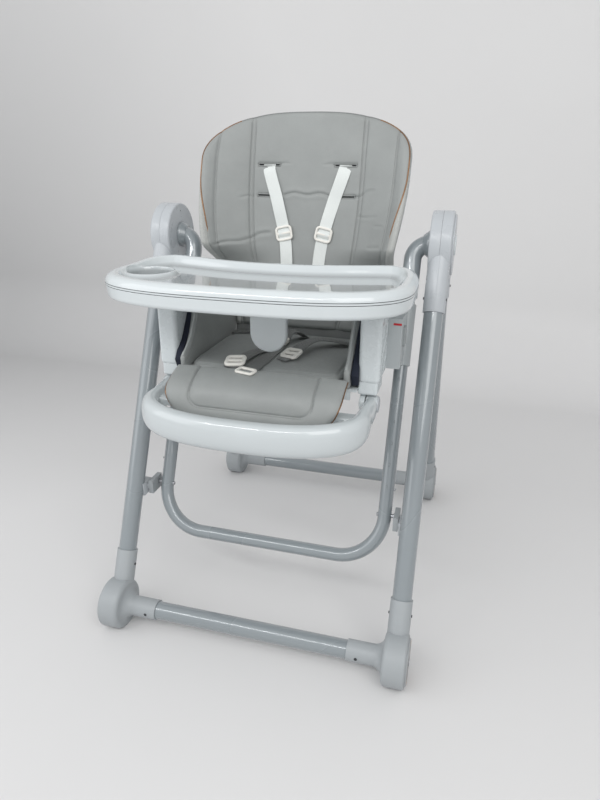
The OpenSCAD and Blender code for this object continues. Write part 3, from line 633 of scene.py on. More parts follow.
def satin_finish(name, base, roughness=0.38):
    """Moulded plastic with a fine spark-eroded texture."""
    finish = Finish(name, base, roughness)
    finish.mottle(finish.noise(6.0, 4.0), 0.018)
    finish.wear(0.06, 50.0)
    finish.gloss(finish.noise(40.0, 5.0, 0.6), roughness * 0.86, roughness * 1.16)
    finish.bump(finish.noise(2600.0, 2.0), 0.00003, 0.5)
    return finish.material


def metal_finish(name, base, roughness=0.32):
    """Zinc-plated steel with a faint brushed grain."""
    finish = Finish(name, base, roughness, Metallic=1.0)
    finish.mottle(finish.noise(60.0, 5.0), 0.10)
    grain = finish.noise(400.0, 3.0, source=finish.stretched((0.05, 1.0, 1.0)))
    finish.gloss(grain, roughness * 0.75, roughness * 1.3)
    finish.bump(grain, 0.00002, 0.6)
    return finish.material


def leather_finish(name, base):
    """Coated fabric: pebble grain, soft creases and a dull sheen."""
    finish = Finish(name, base, 0.50, Sheen_Weight=0.12, Sheen_Roughness=0.45)
    finish.mottle(finish.noise(9.0, 5.0, 0.6), 0.05)
    pebbles = finish.cells(1150.0, "DISTANCE_TO_EDGE")
    finish.tint(finish.remap(pebbles, 0.0, 0.09, 0.22, 0.0), tuple(c * 0.72 for c in base))
    finish.gloss(finish.noise(120.0, 4.0, 0.6), 0.42, 0.56)
    finish.bump(finish.noise(38.0, 3.0, 0.5), 0.0010, 0.30)
    finish.bump(finish.remap(pebbles, 0.0, 0.16, 0.0, 1.0), 0.00010, 0.55)
    return finish.material


def weave(finish, pitch, height, strength=0.8):
    """Over-and-under threads along the piece's own strip coordinates."""
    coordinates = finish.node("ShaderNodeTexCoord").outputs["UV"]
    values = []
    for axis, share in (("X", 1.0), ("Y", 0.5)):
        wave = finish.node("ShaderNodeTexWave", wave_type="BANDS", bands_direction=axis,
                           wave_profile="SIN", Scale=share / (pitch * 3.2), Distortion=0.35, Detail=1.0)
        finish.links.new(coordinates, wave.inputs["Vector"])
        values.append(wave.outputs["Fac"])
    both = finish.node("ShaderNodeMath", operation="MULTIPLY")
    finish.links.new(values[0], both.inputs[0])
    finish.links.new(values[1], both.inputs[1])
    finish.bump(both.outputs["Value"], height, strength)
    return both.outputs["Value"]


def webbing_finish(name, base):
    """Satin polyester webbing."""
    finish = Finish(name, base, 0.42, Sheen_Weight=0.35, Sheen_Roughness=0.3)
    threads = weave(finish, 0.0009, 0.00022)
    finish.mottle(threads, 0.10, 0.1, 0.7)
    finish.gloss(finish.noise(300.0, 2.0), 0.34, 0.5)
    return finish.material


def cloth_finish(name, base, scale=1400.0, sheen=0.2):
    """Plain woven lining."""
    finish = Finish(name, base, 0.8, Sheen_Weight=sheen)
    threads = finish.noise(scale, 1.0, source=finish.stretched((1.0, 0.35, 1.0)))
    finish.mottle(threads, 0.22)
    finish.bump(threads, 0.00018, 0.7)
    return finish.material


def piping_finish(name, base):
    """Copper-coloured metallic film over a cord."""
    finish = Finish(name, base, 0.36, Metallic=0.75)
    finish.mottle(finish.noise(250.0, 3.0), 0.16)
    finish.bump(finish.noise(700.0, 2.0), 0.00008, 0.6)
    return finish.material


def wheel_finish(name, base, rim, node_name):
    """Satin plastic wheel with a copper ring pressed round its face."""
    low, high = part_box(node_name)
    centre = (low + high) / 2
    radius = (high.z - low.z) / 2
    finish = Finish(name, base, 0.40)
    finish.mottle(finish.noise(6.0, 4.0), 0.03)
    flat = finish.node("ShaderNodeMapping")
    flat.inputs["Location"].default_value = (0.0, -centre.y, -centre.z)
    flat.inputs["Scale"].default_value = (0.0, 1.0, 1.0)
    finish.links.new(finish.place, flat.inputs["Vector"])
    distance = finish.node("ShaderNodeVectorMath", operation="LENGTH")
    finish.links.new(flat.outputs["Vector"], distance.inputs[0])
    outer = finish.remap(distance.outputs["Value"], radius * 0.80, radius * 0.82, 0.0, 1.0)
    inner = finish.remap(distance.outputs["Value"], radius * 0.93, radius * 0.95, 1.0, 0.0)
    ring = finish.node("ShaderNodeMath", operation="MULTIPLY")
    finish.links.new(outer, ring.inputs[0])
    finish.links.new(inner, ring.inputs[1])
    finish.tint(ring.outputs["Value"], rim)
    finish.gloss(finish.noise(40.0, 5.0, 0.6), 0.30, 0.44)
    finish.bump(finish.noise(2600.0, 2.0), 0.00003, 0.5)
    return finish.material


def shade(value, factor):
    """A colour made darker by a factor under 1, or lighter by one over 1."""
    return tuple(v * factor for v in value)


def make_finishes():
    """All the finishes of the chair, by name."""
    c = colours()
    wheels = {name: wheel_finish(name + "_plastic", shade(c.foot, 0.95), shade(c.piping, 1.1), name)
              for name in WHEELS}
    return wheels | {
        "tube": tube_finish("tube_paint", c.tube),
        "hub": satin_finish("hub_plastic", c.hub, 0.30),
        "foot": satin_finish("foot_plastic", c.foot, 0.46),
        "shell": gloss_finish("shell_plastic", c.shell),
        "tray": gloss_finish("tray_plastic", c.shell, 0.13),
        # The basin finish carries painted shade towards its floor.
        "basin": basin_painted_shade_finish("basin_plastic_painted_shade", c.shell),
        "bar": gloss_finish("bar_plastic", shade(c.shell, 0.90), 0.15),
        "shell_satin": satin_finish("shell_satin", shade(c.shell, 1.02), 0.27),
        "slider": satin_finish("slider_plastic", shade(c.shell, 0.72), 0.34),
        "guard": satin_finish("guard_plastic", shade(c.shell, 0.99), 0.36),
        "button": satin_finish("button_plastic", shade(c.shell, 0.55), 0.42),
        "steel": metal_finish("zinc_steel", (0.42, 0.43, 0.45)),
        "screw": metal_finish("dark_screw", (0.075, 0.078, 0.082), 0.42),
        "bush": satin_finish("nylon", (0.70, 0.70, 0.68), 0.45),
        "red": satin_finish("marker_red", (0.48, 0.010, 0.020), 0.45),
        "leather": leather_finish("pad_leather", c.leather),
        "leather_edge": leather_finish("pad_edge", shade(c.leather, 0.72)),
        "leather_pale": leather_finish("pad_rim", shade(c.leather, 1.35)),
        "thread": cloth_finish("thread", shade(c.leather, 0.85), 3000.0),
        "piping": piping_finish("copper_piping", c.piping),
        "webbing": webbing_finish("webbing", c.strap),
        "webbing_dark": webbing_finish("lap_webbing", shade(c.strap, 0.17)),
        "buckle": satin_finish("ivory_plastic", c.buckle, 0.33),
        "liner": cloth_finish("navy_liner", c.liner, sheen=0.02),
        "gusset": cloth_finish("woven_gusset", (0.40, 0.41, 0.395), 1600.0),
        "ink": satin_finish("printed_ink", (0.035, 0.038, 0.045), 0.5),
        # Painted shade inside the belt slots.
        "dark": satin_finish("slot_painted_shade", (0.02, 0.02, 0.024), 0.7),
    }


# ---- carried-over frame nodes ----

NODE_FINISH = {
    "front_leg_left": "tube", "front_leg_right": "tube", "rear_leg_left": "tube", "rear_leg_right": "tube",
    "front_crossbar": "tube", "rear_crossbar": "tube", "swing_tube": "tube",
    "swing_arm_left": "tube", "swing_arm_right": "tube",
    "front_hub_left": "hub", "front_hub_right": "hub", "rear_hub_left": "hub", "rear_hub_right": "hub",
    "hub_covers": "hub", "fold_button_left": "shell_satin", "fold_button_right": "shell_satin",
    "front_foot_left": "foot", "front_foot_right": "foot",
    "rear_foot_left": "foot", "rear_foot_right": "foot",
    "wheel_front_left": "wheel_front_left", "wheel_front_right": "wheel_front_right",
    "wheel_rear_left": "wheel_rear_left", "wheel_rear_right": "wheel_rear_right",
    "lock_catch_left": "foot", "lock_catch_right": "foot",
    "lock_bases": "hub", "button_springs": "steel", "pivot_pins": "steel", "front_screws": "screw",
    "rear_screws": "screw", "front_axles": "steel", "rear_axles": "steel", "swing_studs": "steel",
    "recline_rod": "steel", "pivot_bushes": "bush", "slider_left": "slider", "slider_right": "slider",
    "height_button_left": "button", "height_button_right": "button", "lock_marks": "red",
    "seat_base": "shell_satin", "back_shell": "shell_satin", "recline_handle": "button",
    "calf_plate": "shell_satin", "pivot_caps": "hub", "tray_button_left": "button",
    "tray_button_right": "button",
}
SOFT_EDGES = {
    "front_hub_left": 0.0035, "front_hub_right": 0.0035, "rear_hub_left": 0.0035, "rear_hub_right": 0.0035,
    "hub_covers": 0.0010, "front_foot_left": 0.0030, "front_foot_right": 0.0030, "rear_foot_left": 0.0030,
    "rear_foot_right": 0.0030, "lock_catch_left": 0.0020, "lock_catch_right": 0.0020, "lock_bases": 0.0020,
    "slider_left": 0.0025, "slider_right": 0.0025, "height_button_left": 0.0015,
    "height_button_right": 0.0015, "seat_base": 0.0012, "back_shell": 0.0010, "recline_handle": 0.0020,
    "calf_plate": 0.0010, "tray_button_left": 0.0012, "tray_button_right": 0.0012, "front_axles": 0.0006,
    "rear_axles": 0.0006, "front_screws": 0.0005, "rear_screws": 0.0005, "swing_studs": 0.0006,
}


def dress_node(name, material):
    """Gives a frame node its finish and softens its edges."""
    node = frame["nodes"][name]
    if not node.material_slots:
        node.data.materials.append(material)
    for slot in node.material_slots:
        slot.material = material
    weld = node.modifiers.new("weld", "WELD")
    weld.merge_threshold = 0.00002
    if name in SOFT_EDGES:
        bevel = node.modifiers.new("soft edges", "BEVEL")
        bevel.width = SOFT_EDGES[name]
        bevel.segments = 3
        bevel.limit_method = "ANGLE"
        bevel.angle_limit = math.radians(35)
        bevel.harden_normals = True
        bevel.use_clamp_overlap = True
        bevel.miter_outer = "MITER_ARC"


# ---- tray ----

TRAY_MID = -0.270 + HUB_Y
TRAY_FRONT = TRAY_MID - TRAY_LOW.y
TRAY_REAR = 0.165
TRAY_DIP = 0.065
TRAY_DIP_HALF = 0.220
CUP = Vector((-0.216, -0.268 + HUB_Y))


def tray_outline(inset, count=360):
    """Outline of the tray set back by inset, as rows of x and y."""
    angle = np.linspace(0, 2 * math.pi, count, endpoint=False)
    front = np.sin(angle) < 0
    power = np.where(front, 2 / 2.9, 0.5)
    x = (TRAY_HIGH.x - inset) * spow(np.cos(angle), power)
    y = np.where(front, TRAY_FRONT, TRAY_REAR) - inset
    y = y * spow(np.sin(angle), power)
    dip = TRAY_DIP * np.clip(1 - (np.abs(x) / TRAY_DIP_HALF) ** 2.5, 0, None)
    dip = np.where(front, 0, dip * np.minimum(1, np.abs(np.sin(angle)) * 4))
    return np.column_stack([x, TRAY_MID + y - dip])


def tray_inset(points):
    """How far inside the tray's outline each point lies, along the outline's own rule."""
    x = np.abs(points[:, 0])
    dip = TRAY_DIP * np.clip(1 - (x / TRAY_DIP_HALF) ** 2.5, 0, None)
    y = points[:, 1] - TRAY_MID
    front = y < -dip * 0.5
    y = np.where(front, -y, y + dip)
    reach = np.where(front, TRAY_FRONT, TRAY_REAR)
    power = np.where(front, 2.9, 4.0)
    low, high = np.zeros(len(x)), reach - 0.002
    for _ in range(40):
        middle = (low + high) / 2
        outside = (x / (TRAY_HIGH.x - middle)) ** power + (np.abs(y) / (reach - middle)) ** power > 1
        high = np.where(outside, middle, high)
        low = np.where(outside, low, middle)
    return (low + high) / 2


def rim_height(inset, y):
    """Height of the tray's top over the seam at a given inset."""
    size = tray_sizes()
    crest = TRAY_HIGH.z - TRAY_SEAM + size.rear_lift * ease((y - TRAY_MID - 0.03) / 0.08)
    basin = 0.0035
    out = np.clip(inset / size.rim_outer, 0, 1)
    outer = 0.004 + (crest - 0.004) * np.sqrt(np.clip(1 - (1 - out) ** 2, 0, 1))
    start = size.rim_outer + size.rim_flat
    inner = basin + (crest - basin) * (1 - ease((inset - start) / size.rim_inner))
    return np.where(inset < start, outer, inner)


def smooth_max(a, b, width):
    """Larger of two values with a soft change-over."""
    h = np.clip(0.5 + 0.5 * (a - b) / width, 0, 1)
    return b * (1 - h) + a * h + width * h * (1 - h)


def tray_height(points):
    """Height of the tray's top over the seam, with the cup recess and its ring."""
    size = tray_sizes()
    radius = np.hypot(points[:, 0] - CUP.x, points[:, 1] - CUP.y)
    ring = 0.0035 + 0.0085 * (1 - ease((radius - size.cup_radius - 0.002) / 0.013))
    plain = rim_height(tray_inset(points), points[:, 1])
    joined = smooth_max(plain, ring, 0.005)
    direction = (points - np.array(CUP)) / np.maximum(radius, 1e-6)[:, None]
    edge_points = np.array(CUP) + direction * size.cup_radius
    edge_ring = np.full(len(points), 0.012)
    edge = smooth_max(rim_height(tray_inset(edge_points), edge_points[:, 1]), edge_ring, 0.005)
    floor = -0.0120
    inside = floor + (edge - floor) * ease((radius - size.cup_radius + 0.0052) / 0.0052) ** 0.8
    return np.where(radius < size.cup_radius, inside, joined)


def tray_net(insets, fill, with_cup):
    """Triangles over the tray's outline: returns points, triangles and the outer ring's length."""
    size = tray_sizes()
    count = 360
    clear = size.cup_radius + 0.017
    rings = [tray_outline(inset, count) for inset in insets]
    points = [tuple(p) for p in rings[0]]
    edges = [(i, (i + 1) % count) for i in range(count)]
    for ring in rings[1:]:
        far = np.ones(count, bool)
        if with_cup:
            far = np.hypot(ring[:, 0] - CUP.x, ring[:, 1] - CUP.y) > clear + 0.001
        points.extend(tuple(p) for p in ring[far])
    deepest = insets[-1] + fill * 0.6
    xs = np.arange(-0.27, 0.27, fill)
    ys = np.arange(TRAY_MID - 0.15, TRAY_MID + 0.17, fill)
    net = np.array([(x, y) for x in xs for y in ys])
    keep = tray_inset(net) > deepest
    if with_cup:
        keep &= np.hypot(net[:, 0] - CUP.x, net[:, 1] - CUP.y) > clear + 0.004
    points.extend(tuple(p) for p in net[keep])
    if with_cup:
        reach = size.cup_radius
        radii = list(np.arange(clear, reach + 0.0005, -0.0012))
        radii += list(np.arange(reach, reach - 0.0056, -0.0004))
        radii += [reach - 0.0075, reach - 0.011, reach - 0.017, reach - 0.026]
        turn = np.linspace(0, 2 * math.pi, 120, endpoint=False)
        for radius in radii:
            points.extend((CUP.x + radius * math.cos(a), CUP.y + radius * math.sin(a)) for a in turn)
        points.append((CUP.x, CUP.y))
    out = delaunay_2d_cdt([Vector(p) for p in points], edges, [], 1, 1e-7)
    return np.array([(v.x, v.y) for v in out[0]]), [tuple(f) for f in out[2]], count


def build_top_tray(finishes):
    """Tray with a rolled rim, a glossy basin and a cup recess."""
    size = tray_sizes()
    slope_end = size.rim_outer + size.rim_flat + size.rim_inner
    outer = size.rim_outer * (1 - np.cos(np.linspace(0, math.pi / 2, 12)))
    inner = np.linspace(size.rim_outer, slope_end, 16)[1:]
    insets = np.concatenate([outer, inner, [slope_end + 0.002, slope_end + 0.006]])
    net, triangles, ring = tray_net(insets, 0.009, True)
    top = TRAY_SEAM + tray_height(net)
    radius = np.hypot(net[:, 0] - CUP.x, net[:, 1] - CUP.y)
    under = TRAY_SEAM + np.where(radius < size.cup_radius + 0.003, -0.0152, 0.0006)
    shape = Shape()
    # Faces well inside the rim take the basin finish with its painted shade.
    deep = tray_inset(net[np.array(triangles)].mean(axis=1)) > size.rim_outer + size.rim_flat * 0.6
    shape.add(np.column_stack([net, top]), [t for t, low in zip(triangles, deep) if not low], 0)
    shape.add(np.column_stack([net, top]), [t for t, low in zip(triangles, deep) if low], 1)
    border = tray_outline(0.0)
    low = np.column_stack([tray_outline(0.0005), np.full(ring, TRAY_SEAM + 0.0006)])
    middle = np.column_stack([border, np.full(ring, TRAY_SEAM + 0.0010)])
    high = np.column_stack([border, np.full(ring, TRAY_SEAM + 0.004)])
    shape.rings([high, middle, low], caps=False)
    shape.add(np.column_stack([net, under]), [t[::-1] for t in triangles])
    shape.rings([low, np.column_stack([border, np.full(ring, TRAY_SEAM + 0.0006)])], caps=False)
    return make_piece("tray_top", shape, [finishes["tray"], finishes["basin"]], "top_tray",
                      ("top_tray",), smooth=50.0, weld=2e-6)


def build_tray_base(finishes):
    """Skirt under the tray with its floor, the well under the cup recess and the rails on the armrests."""
    size = tray_sizes()
    bend = size.skirt_round
    low, high = PANEL_HIGH.z + 0.0015, TRAY_SEAM
    floor_top, floor_low = high - 0.0004, high - 0.009
    edge_inset, well = 0.0045, 0.0425
    edge_count, well_count = 360, 60
    profile = [(edge_inset, floor_top), (0.0018, high - 0.0003), (0.0006, high - 0.0003),
               (0.0003, high - 0.0008)]
    profile += [(0.0003 + 0.0017 * t, high - 0.0008 - (high - low - 0.0008 - bend) * t)
                for t in np.linspace(0.1, 1, 6)]
    profile += [(0.002 + bend * (1 - math.cos(t)), low + bend * (1 - math.sin(t)))
                for t in np.linspace(0, math.pi / 2, 9)[1:]]
    profile += [(0.002 + bend + 0.002, low + 0.0006), (0.002 + bend + 0.002, low + 0.004)]
    profile += [(0.0062, low + 0.010), (0.0060, floor_low)]
    rings = [np.column_stack([tray_outline(inset), np.full(edge_count, z)]) for inset, z in profile]
    shape = Shape()
    shape.rings(rings, caps=False)
    net, _, _ = tray_net(np.array([edge_inset, 0.006, 0.010]), 0.02, False)
    turn = np.linspace(0, 2 * math.pi, well_count, endpoint=False)
    hole = [(CUP.x + well * math.cos(a), CUP.y + well * math.sin(a)) for a in turn]
    border = tray_outline(edge_inset)
    points = [Vector(p) for p in border] + [Vector(p) for p in hole]
    inside = [Vector(p) for p in net if math.hypot(p[0] - CUP.x, p[1] - CUP.y) > well + 0.004
              and tray_inset(np.array([p]))[0] > 0.008]
    edges = [(i, (i + 1) % edge_count) for i in range(edge_count)]
    edges += [(edge_count + i, edge_count + (i + 1) % well_count) for i in range(well_count)]
    out = delaunay_2d_cdt(points + inside, edges, [], 1, 1e-7)
    flat = np.array([(v.x, v.y) for v in out[0]])
    floor_faces = []
    for face in out[2]:
        middle = flat[list(face)].mean(axis=0)
        if math.hypot(middle[0] - CUP.x, middle[1] - CUP.y) > well:
            floor_faces.append(tuple(face))
    top = np.column_stack([flat, np.full(len(flat), floor_top)])
    shape.add(top, floor_faces)
    shape.add(np.column_stack([flat, np.full(len(flat), floor_low)]), [f[::-1] for f in floor_faces])
    lip = np.array(hole)
    shape.rings([np.column_stack([lip, np.full(well_count, height)]) for height in (floor_top, floor_low)],
                caps=False)
    shape.rings([np.column_stack([ring, np.full(edge_count, floor_low)])
                 for ring in (border, tray_outline(0.0060))], caps=False)
    for side in SIDES:
        for x0, x1, z0 in ((PANEL_LOW.x + 0.002, PANEL_HIGH.x - 0.002, PANEL_HIGH.z + 0.0003),
                           (PANEL_LOW.x - 0.004, PANEL_LOW.x - 0.0003, PANEL_HIGH.z - 0.008),
                           (PANEL_HIGH.x + 0.0003, PANEL_HIGH.x + 0.004, PANEL_HIGH.z - 0.008)):
            y0 = TRAY_MID + (0.060 if z0 > PANEL_HIGH.z else 0.080)
            rail = rounded_outline([(y0, z0), (TRAY_MID + 0.132, z0), (TRAY_MID + 0.132, high - 0.0095),
                                    (y0, high - 0.0095)], 0.002)
            shape.slab(rail, x0, x1, 0.0012,
                       lambda p, side=side: np.column_stack([side * p[:, 2], p[:, 0], p[:, 1]]))
    base = make_piece("tray_skirt", shape, [finishes["shell"]], "tray", ("tray_base",),
                      smooth=35.0, weld=2e-6)
    return base


def build_guard(finishes):
    """Rounded plate that hangs from the tray between the child's legs."""
    low, high = GUARD_LOW, GUARD_HIGH
    half = high.x
    turn = np.linspace(math.pi, 2 * math.pi, 33)
    outline = [(half * math.cos(a), low.z + half + half * math.sin(a)) for a in turn]
    outline += [(half, high.z), (-half, high.z)]
    shape = Shape()
    shape.slab(outline, low.y, high.y, 0.0045,
               lambda p: np.column_stack([p[:, 0], p[:, 2], p[:, 1]]), steps=6)
    return make_piece("guard_plate", shape, [finishes["guard"]], "tray", ("crotch_guard",),
                      smooth=50.0)


# ---- seat shell ----


def yz_slab(shape, outline, x0, x1, radius, slot=0, steps=4):
    """Adds an outline given in y and z, extruded along x with rounded edges."""
    return shape.slab(outline, x0, x1, radius,
                      lambda p: np.column_stack([p[:, 2], p[:, 0], p[:, 1]]), slot, steps)


def build_side_panel(finishes, side, name):
    """Front pillar with its collar and the armrest above it."""
    front, back, top = PANEL_LOW.y, -0.014 + HUB_Y, PANEL_HIGH.z
    collar_low = SEAT_HIGH.z - 0.037
    shoulder = collar_low + 0.026
    x0, x1 = PANEL_LOW.x, PANEL_HIGH.x
    outline = rounded_outline(
        [(front, top), (front, shoulder - 0.003), (front + 0.080, shoulder - 0.003),
         (back - 0.060, SEAT_HIGH.z + 0.046), (back, top - 0.048), (back, top)],
        [0.0090, 0.0088, 0.012, 0.030, 0.012, 0.010])
    shape = Shape()
    yz_slab(shape, outline, x0, x1, 0.0085, steps=7)
    block = rounded_outline([(front + 0.003, collar_low), (front + 0.065, collar_low),
                             (front + 0.065, shoulder + 0.004), (front + 0.003, shoulder + 0.004)], 0.0050)
    yz_slab(shape, block, x0, x1 - 0.003, 0.0045, steps=5)
    ear0, ear1 = x0 + 0.004, x0 + 0.014
    ear_radius = 0.017
    turn = np.linspace(0, 2 * math.pi, 40, endpoint=False)
    ear = [(REST.y + ear_radius * math.cos(a), REST.z + ear_radius * math.sin(a)) for a in turn]
    yz_slab(shape, ear, ear0, ear1, 0.001, steps=2)
    arm = rounded_outline([(REST.y, REST.z - 0.012), (front + 0.040, REST.z),
                           (front + 0.040, collar_low + 0.006), (front + 0.006, collar_low + 0.006),
                           (REST.y, REST.z + 0.014)], 0.001)
    yz_slab(shape, arm, ear0, ear1, 0.001, steps=2)
    shape.points = [(side * x, y, z) for x, y, z in shape.points]
    panel = make_piece(name, shape, [finishes["shell_satin"]], "seat",
                       ("side_panel_left" if side < 0 else "side_panel_right",), smooth=50.0)
    flatten_shading(panel)
    return panel


def build_side_panels(finishes):
    """The pillars and armrests of both sides."""
    return [build_side_panel(finishes, -1, "pillar_left"), build_side_panel(finishes, 1, "pillar_right")]


BAR_REACH = 0.174
BAR_CORNER = 0.098
BAR_HEIGHT = 0.060
BAR_DROP = 0.007
BAR_DEPTH = 0.036
EAR_X = 0.150


def build_footrest(finishes):
    """U-shaped bar round the child's feet with the two ears that carry the calf board."""
    half_width = PANEL_HIGH.x - 0.018
    t = np.linspace(0, 1, 90)
    angle = np.clip((t - 0.3) / 0.7, 0, 1) * math.pi / 2
    x = np.where(t < 0.3, half_width, half_width * spow(np.cos(angle), 0.8))
    y = np.where(t < 0.3, -(BAR_REACH - BAR_CORNER) * t / 0.3,
                 BAR_CORNER - BAR_REACH - BAR_CORNER * spow(np.sin(angle), 0.8))
    share = 0.7 + 0.3 * ease(t / 0.45)
    shift = 0.0035 * (1 - ease((t - 0.08) / 0.2))
    x = x + shift
    both_halves = np.column_stack([np.concatenate([x, -x[-2::-1]]), np.concatenate([y, y[-2::-1]])])
    line = smooth_path(both_halves, 181)
    share = np.interp(np.linspace(0, 1, 181), np.linspace(0, 1, 179), np.concatenate([share, share[-2::-1]]))
    turn = np.linspace(0, 2 * math.pi, 44, endpoint=False)
    rings = []
    tangent = np.gradient(line, axis=0)
    tangent /= np.linalg.norm(tangent, axis=1)[:, None]
    for i, (point, direction) in enumerate(zip(line, tangent)):
        across = np.array([-direction[1], direction[0]])
        wide = max(0.0105, share[i] * BAR_DEPTH / 2)
        tall = share[i] * BAR_HEIGHT / 2
        u = spow(np.cos(turn), 0.8) * wide
        v = spow(np.sin(turn), 0.8) * tall
        ring = np.column_stack([point[0] + across[0] * u, point[1] + across[1] * u, v - BAR_DROP * share[i]])
        rings.append(ring)
    for end in (0, -1):
        caps = []
        base = rings[end]
        middle = base.mean(axis=0)
        outward = -tangent[end] if end == 0 else tangent[end]
        for bend in np.linspace(0, math.pi / 2, 6)[1:]:
            ring = middle + (base - middle) * math.cos(bend) ** 0.9
            ring[:, :2] += outward * 0.010 * math.sin(bend)
            caps.append(ring)
        rings = caps[::-1] + rings if end == 0 else rings + caps
    shape = Shape()
    shape.rings(on_rest(np.array(rings)))
    for side in SIDES:
        disc = rounded_outline([(0.017 * math.cos(a), 0.017 * math.sin(a))
                                for a in np.linspace(0, 2 * math.pi, 48, endpoint=False)], 0.0)
        shape.slab(disc, half_width - 0.006, half_width + 0.015, 0.0015,
                   lambda p, side=side: on_rest(np.column_stack([side * p[:, 2], p[:, 0], p[:, 1]])))
        ear = rounded_outline([(-0.094, -0.006), (-0.068, -0.006), (-0.068, 0.010), (-0.094, 0.010)], 0.004)
        shape.slab(ear, EAR_X, half_width - 0.010, 0.0015,
                   lambda p, side=side: on_rest(np.column_stack([side * p[:, 2], p[:, 0], p[:, 1]])))
    return make_piece("footrest_loop", shape, [finishes["bar"]], "leg_rest",
                      ("footrest_bar",), smooth=50.0)


# ---- backrest ----

BACK_LENGTH = 0.483
BACK_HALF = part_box("back_pad")[1].x
BACK_LOW_HALF = 0.159
BACK_CORNER = 0.110
BACK_TURN = BACK_LENGTH - BACK_CORNER
SHELL_FRONT = -0.004
PAD_THICK = 0.024


def back_half(w):
    """Half width of the back at height w, without the rounding of its top corners."""
    below = np.clip((BACK_TURN - np.asarray(w)) / (BACK_TURN - 0.040), 0, 1)
    return BACK_HALF - (BACK_HALF - BACK_LOW_HALF) * below ** 2.2


def back_top(x):
    """Height of the arched top edge at distance x from the middle."""
    return BACK_TURN + BACK_CORNER * np.clip(1 - (np.abs(x) / BACK_HALF) ** 2.6, 0, None) ** (1 / 2.6)


def back_depth(x, w):
    """Depth of the back's curved surface: its sides reach forward."""
    reach = 0.004 + 0.094 * ease((w - 0.150) / 0.055) * (1 - 0.4 * ease((w - 0.200) / 0.220)) \
        * (1 - 0.8 * ease((w - BACK_LENGTH + 0.110) / 0.105))
    return -reach * (np.abs(x) / back_half(w)) ** 3


INNER_SEAM = 0.546
SIDE_SEAM = 0.865
SEAM_GAP = 0.0034
LOW_EDGE = 0.020


def piping_inset(w):
    """Distance of the piping from the back's outline: low down a woven gusset lies outside it."""
    return 0.0030 + 0.0135 * ease((0.350 - np.asarray(w)) / 0.120)


KNOTS = (0.885, 0.955)


def with_piping(shares, w):
    """Shares across the back, moved so that the second knot lies on the piping at every height."""
    line = np.maximum(1 - piping_inset(w) / back_half(w), KNOTS[0] + 0.004)
    size = np.abs(shares)
    inner = KNOTS[0] + (size - KNOTS[0]) / (KNOTS[1] - KNOTS[0]) * (line - KNOTS[0])
    outer = line + (size - KNOTS[1]) / (1 - KNOTS[1]) * (1 - line)
    return np.sign(shares) * np.where(size < KNOTS[0], size, np.where(size < KNOTS[1], inner, outer))


def back_grid(shares, rises):
    """x and w of the points of a net over the back; shares run across it and rises run up it."""
    s, b = np.meshgrid(shares, rises)
    w = LOW_EDGE + (BACK_TURN - LOW_EDGE) * b
    for _ in range(12):
        x = with_piping(s, w) * back_half(w)
        w = LOW_EDGE + (back_top(x) - LOW_EDGE) * b
    return with_piping(s, w) * back_half(w), w


def edge_share(x, w):
    """0 on the back's outline and 1 well inside it."""
    side = np.abs(x) / back_half(w)
    top = np.clip((w - BACK_TURN) / BACK_CORNER, 0, None)
    out = (side ** 2.6 + top ** 2.6) ** (1 / 2.6)
    return np.clip(1 - out, 0, None)


CREASES = [
    # points as x and w, depth, width
    ([(-0.048, 0.312), (-0.026, 0.317), (0.004, 0.313), (0.030, 0.317), (0.055, 0.311)], 0.0022, 0.0022),
    ([(0.104, 0.312), (0.120, 0.311), (0.135, 0.320), (0.151, 0.323)], 0.0018, 0.0022),
    ([(-0.185, 0.200), (-0.165, 0.207), (-0.140, 0.210), (-0.118, 0.218), (-0.100, 0.228), (-0.078, 0.231)],
     0.0024, 0.0024),
    ([(0.120, 0.271), (0.136, 0.268), (0.158, 0.270)], 0.0012, 0.0020),
    ([(0.160, 0.251), (0.176, 0.250)], 0.0012, 0.0020),
    ([(0.150, 0.206), (0.172, 0.208)], 0.0014, 0.0022),
    ([(-0.118, 0.306), (-0.126, 0.308), (-0.140, 0.304)], 0.0010, 0.0022),
    ([(-0.060, 0.376), (-0.050, 0.378), (-0.040, 0.377)], 0.0010, 0.0018),
    ([(0.060, 0.376), (0.050, 0.377), (0.042, 0.375)], 0.0010, 0.0018),
]


def path_distance(x, w, points):
    """Distance from each point of a net to a polyline."""
    path = smooth_path(points, 24)
    best = np.full(x.shape, 1.0)
    for (ax, aw), (bx, bw) in zip(path[:-1], path[1:]):
        dx, dw = bx - ax, bw - aw
        t = np.clip(((x - ax) * dx + (w - aw) * dw) / (dx * dx + dw * dw), 0, 1)
        best = np.minimum(best, np.hypot(x - ax - t * dx, w - aw - t * dw))
    return best


def waves(x, y, size, seed):
    """Slow undulation between -1 and 1 that is the same each time."""
    random = np.random.default_rng(seed)
    total = np.zeros(np.shape(x))
    for _ in range(7):
        turn = random.uniform(0, math.pi)
        rate = 2 * math.pi / (size * random.uniform(0.6, 1.7))
        total = total + np.sin((x * math.cos(turn) + y * math.sin(turn)) * rate + random.uniform(0, 6.28))
    return total / 7


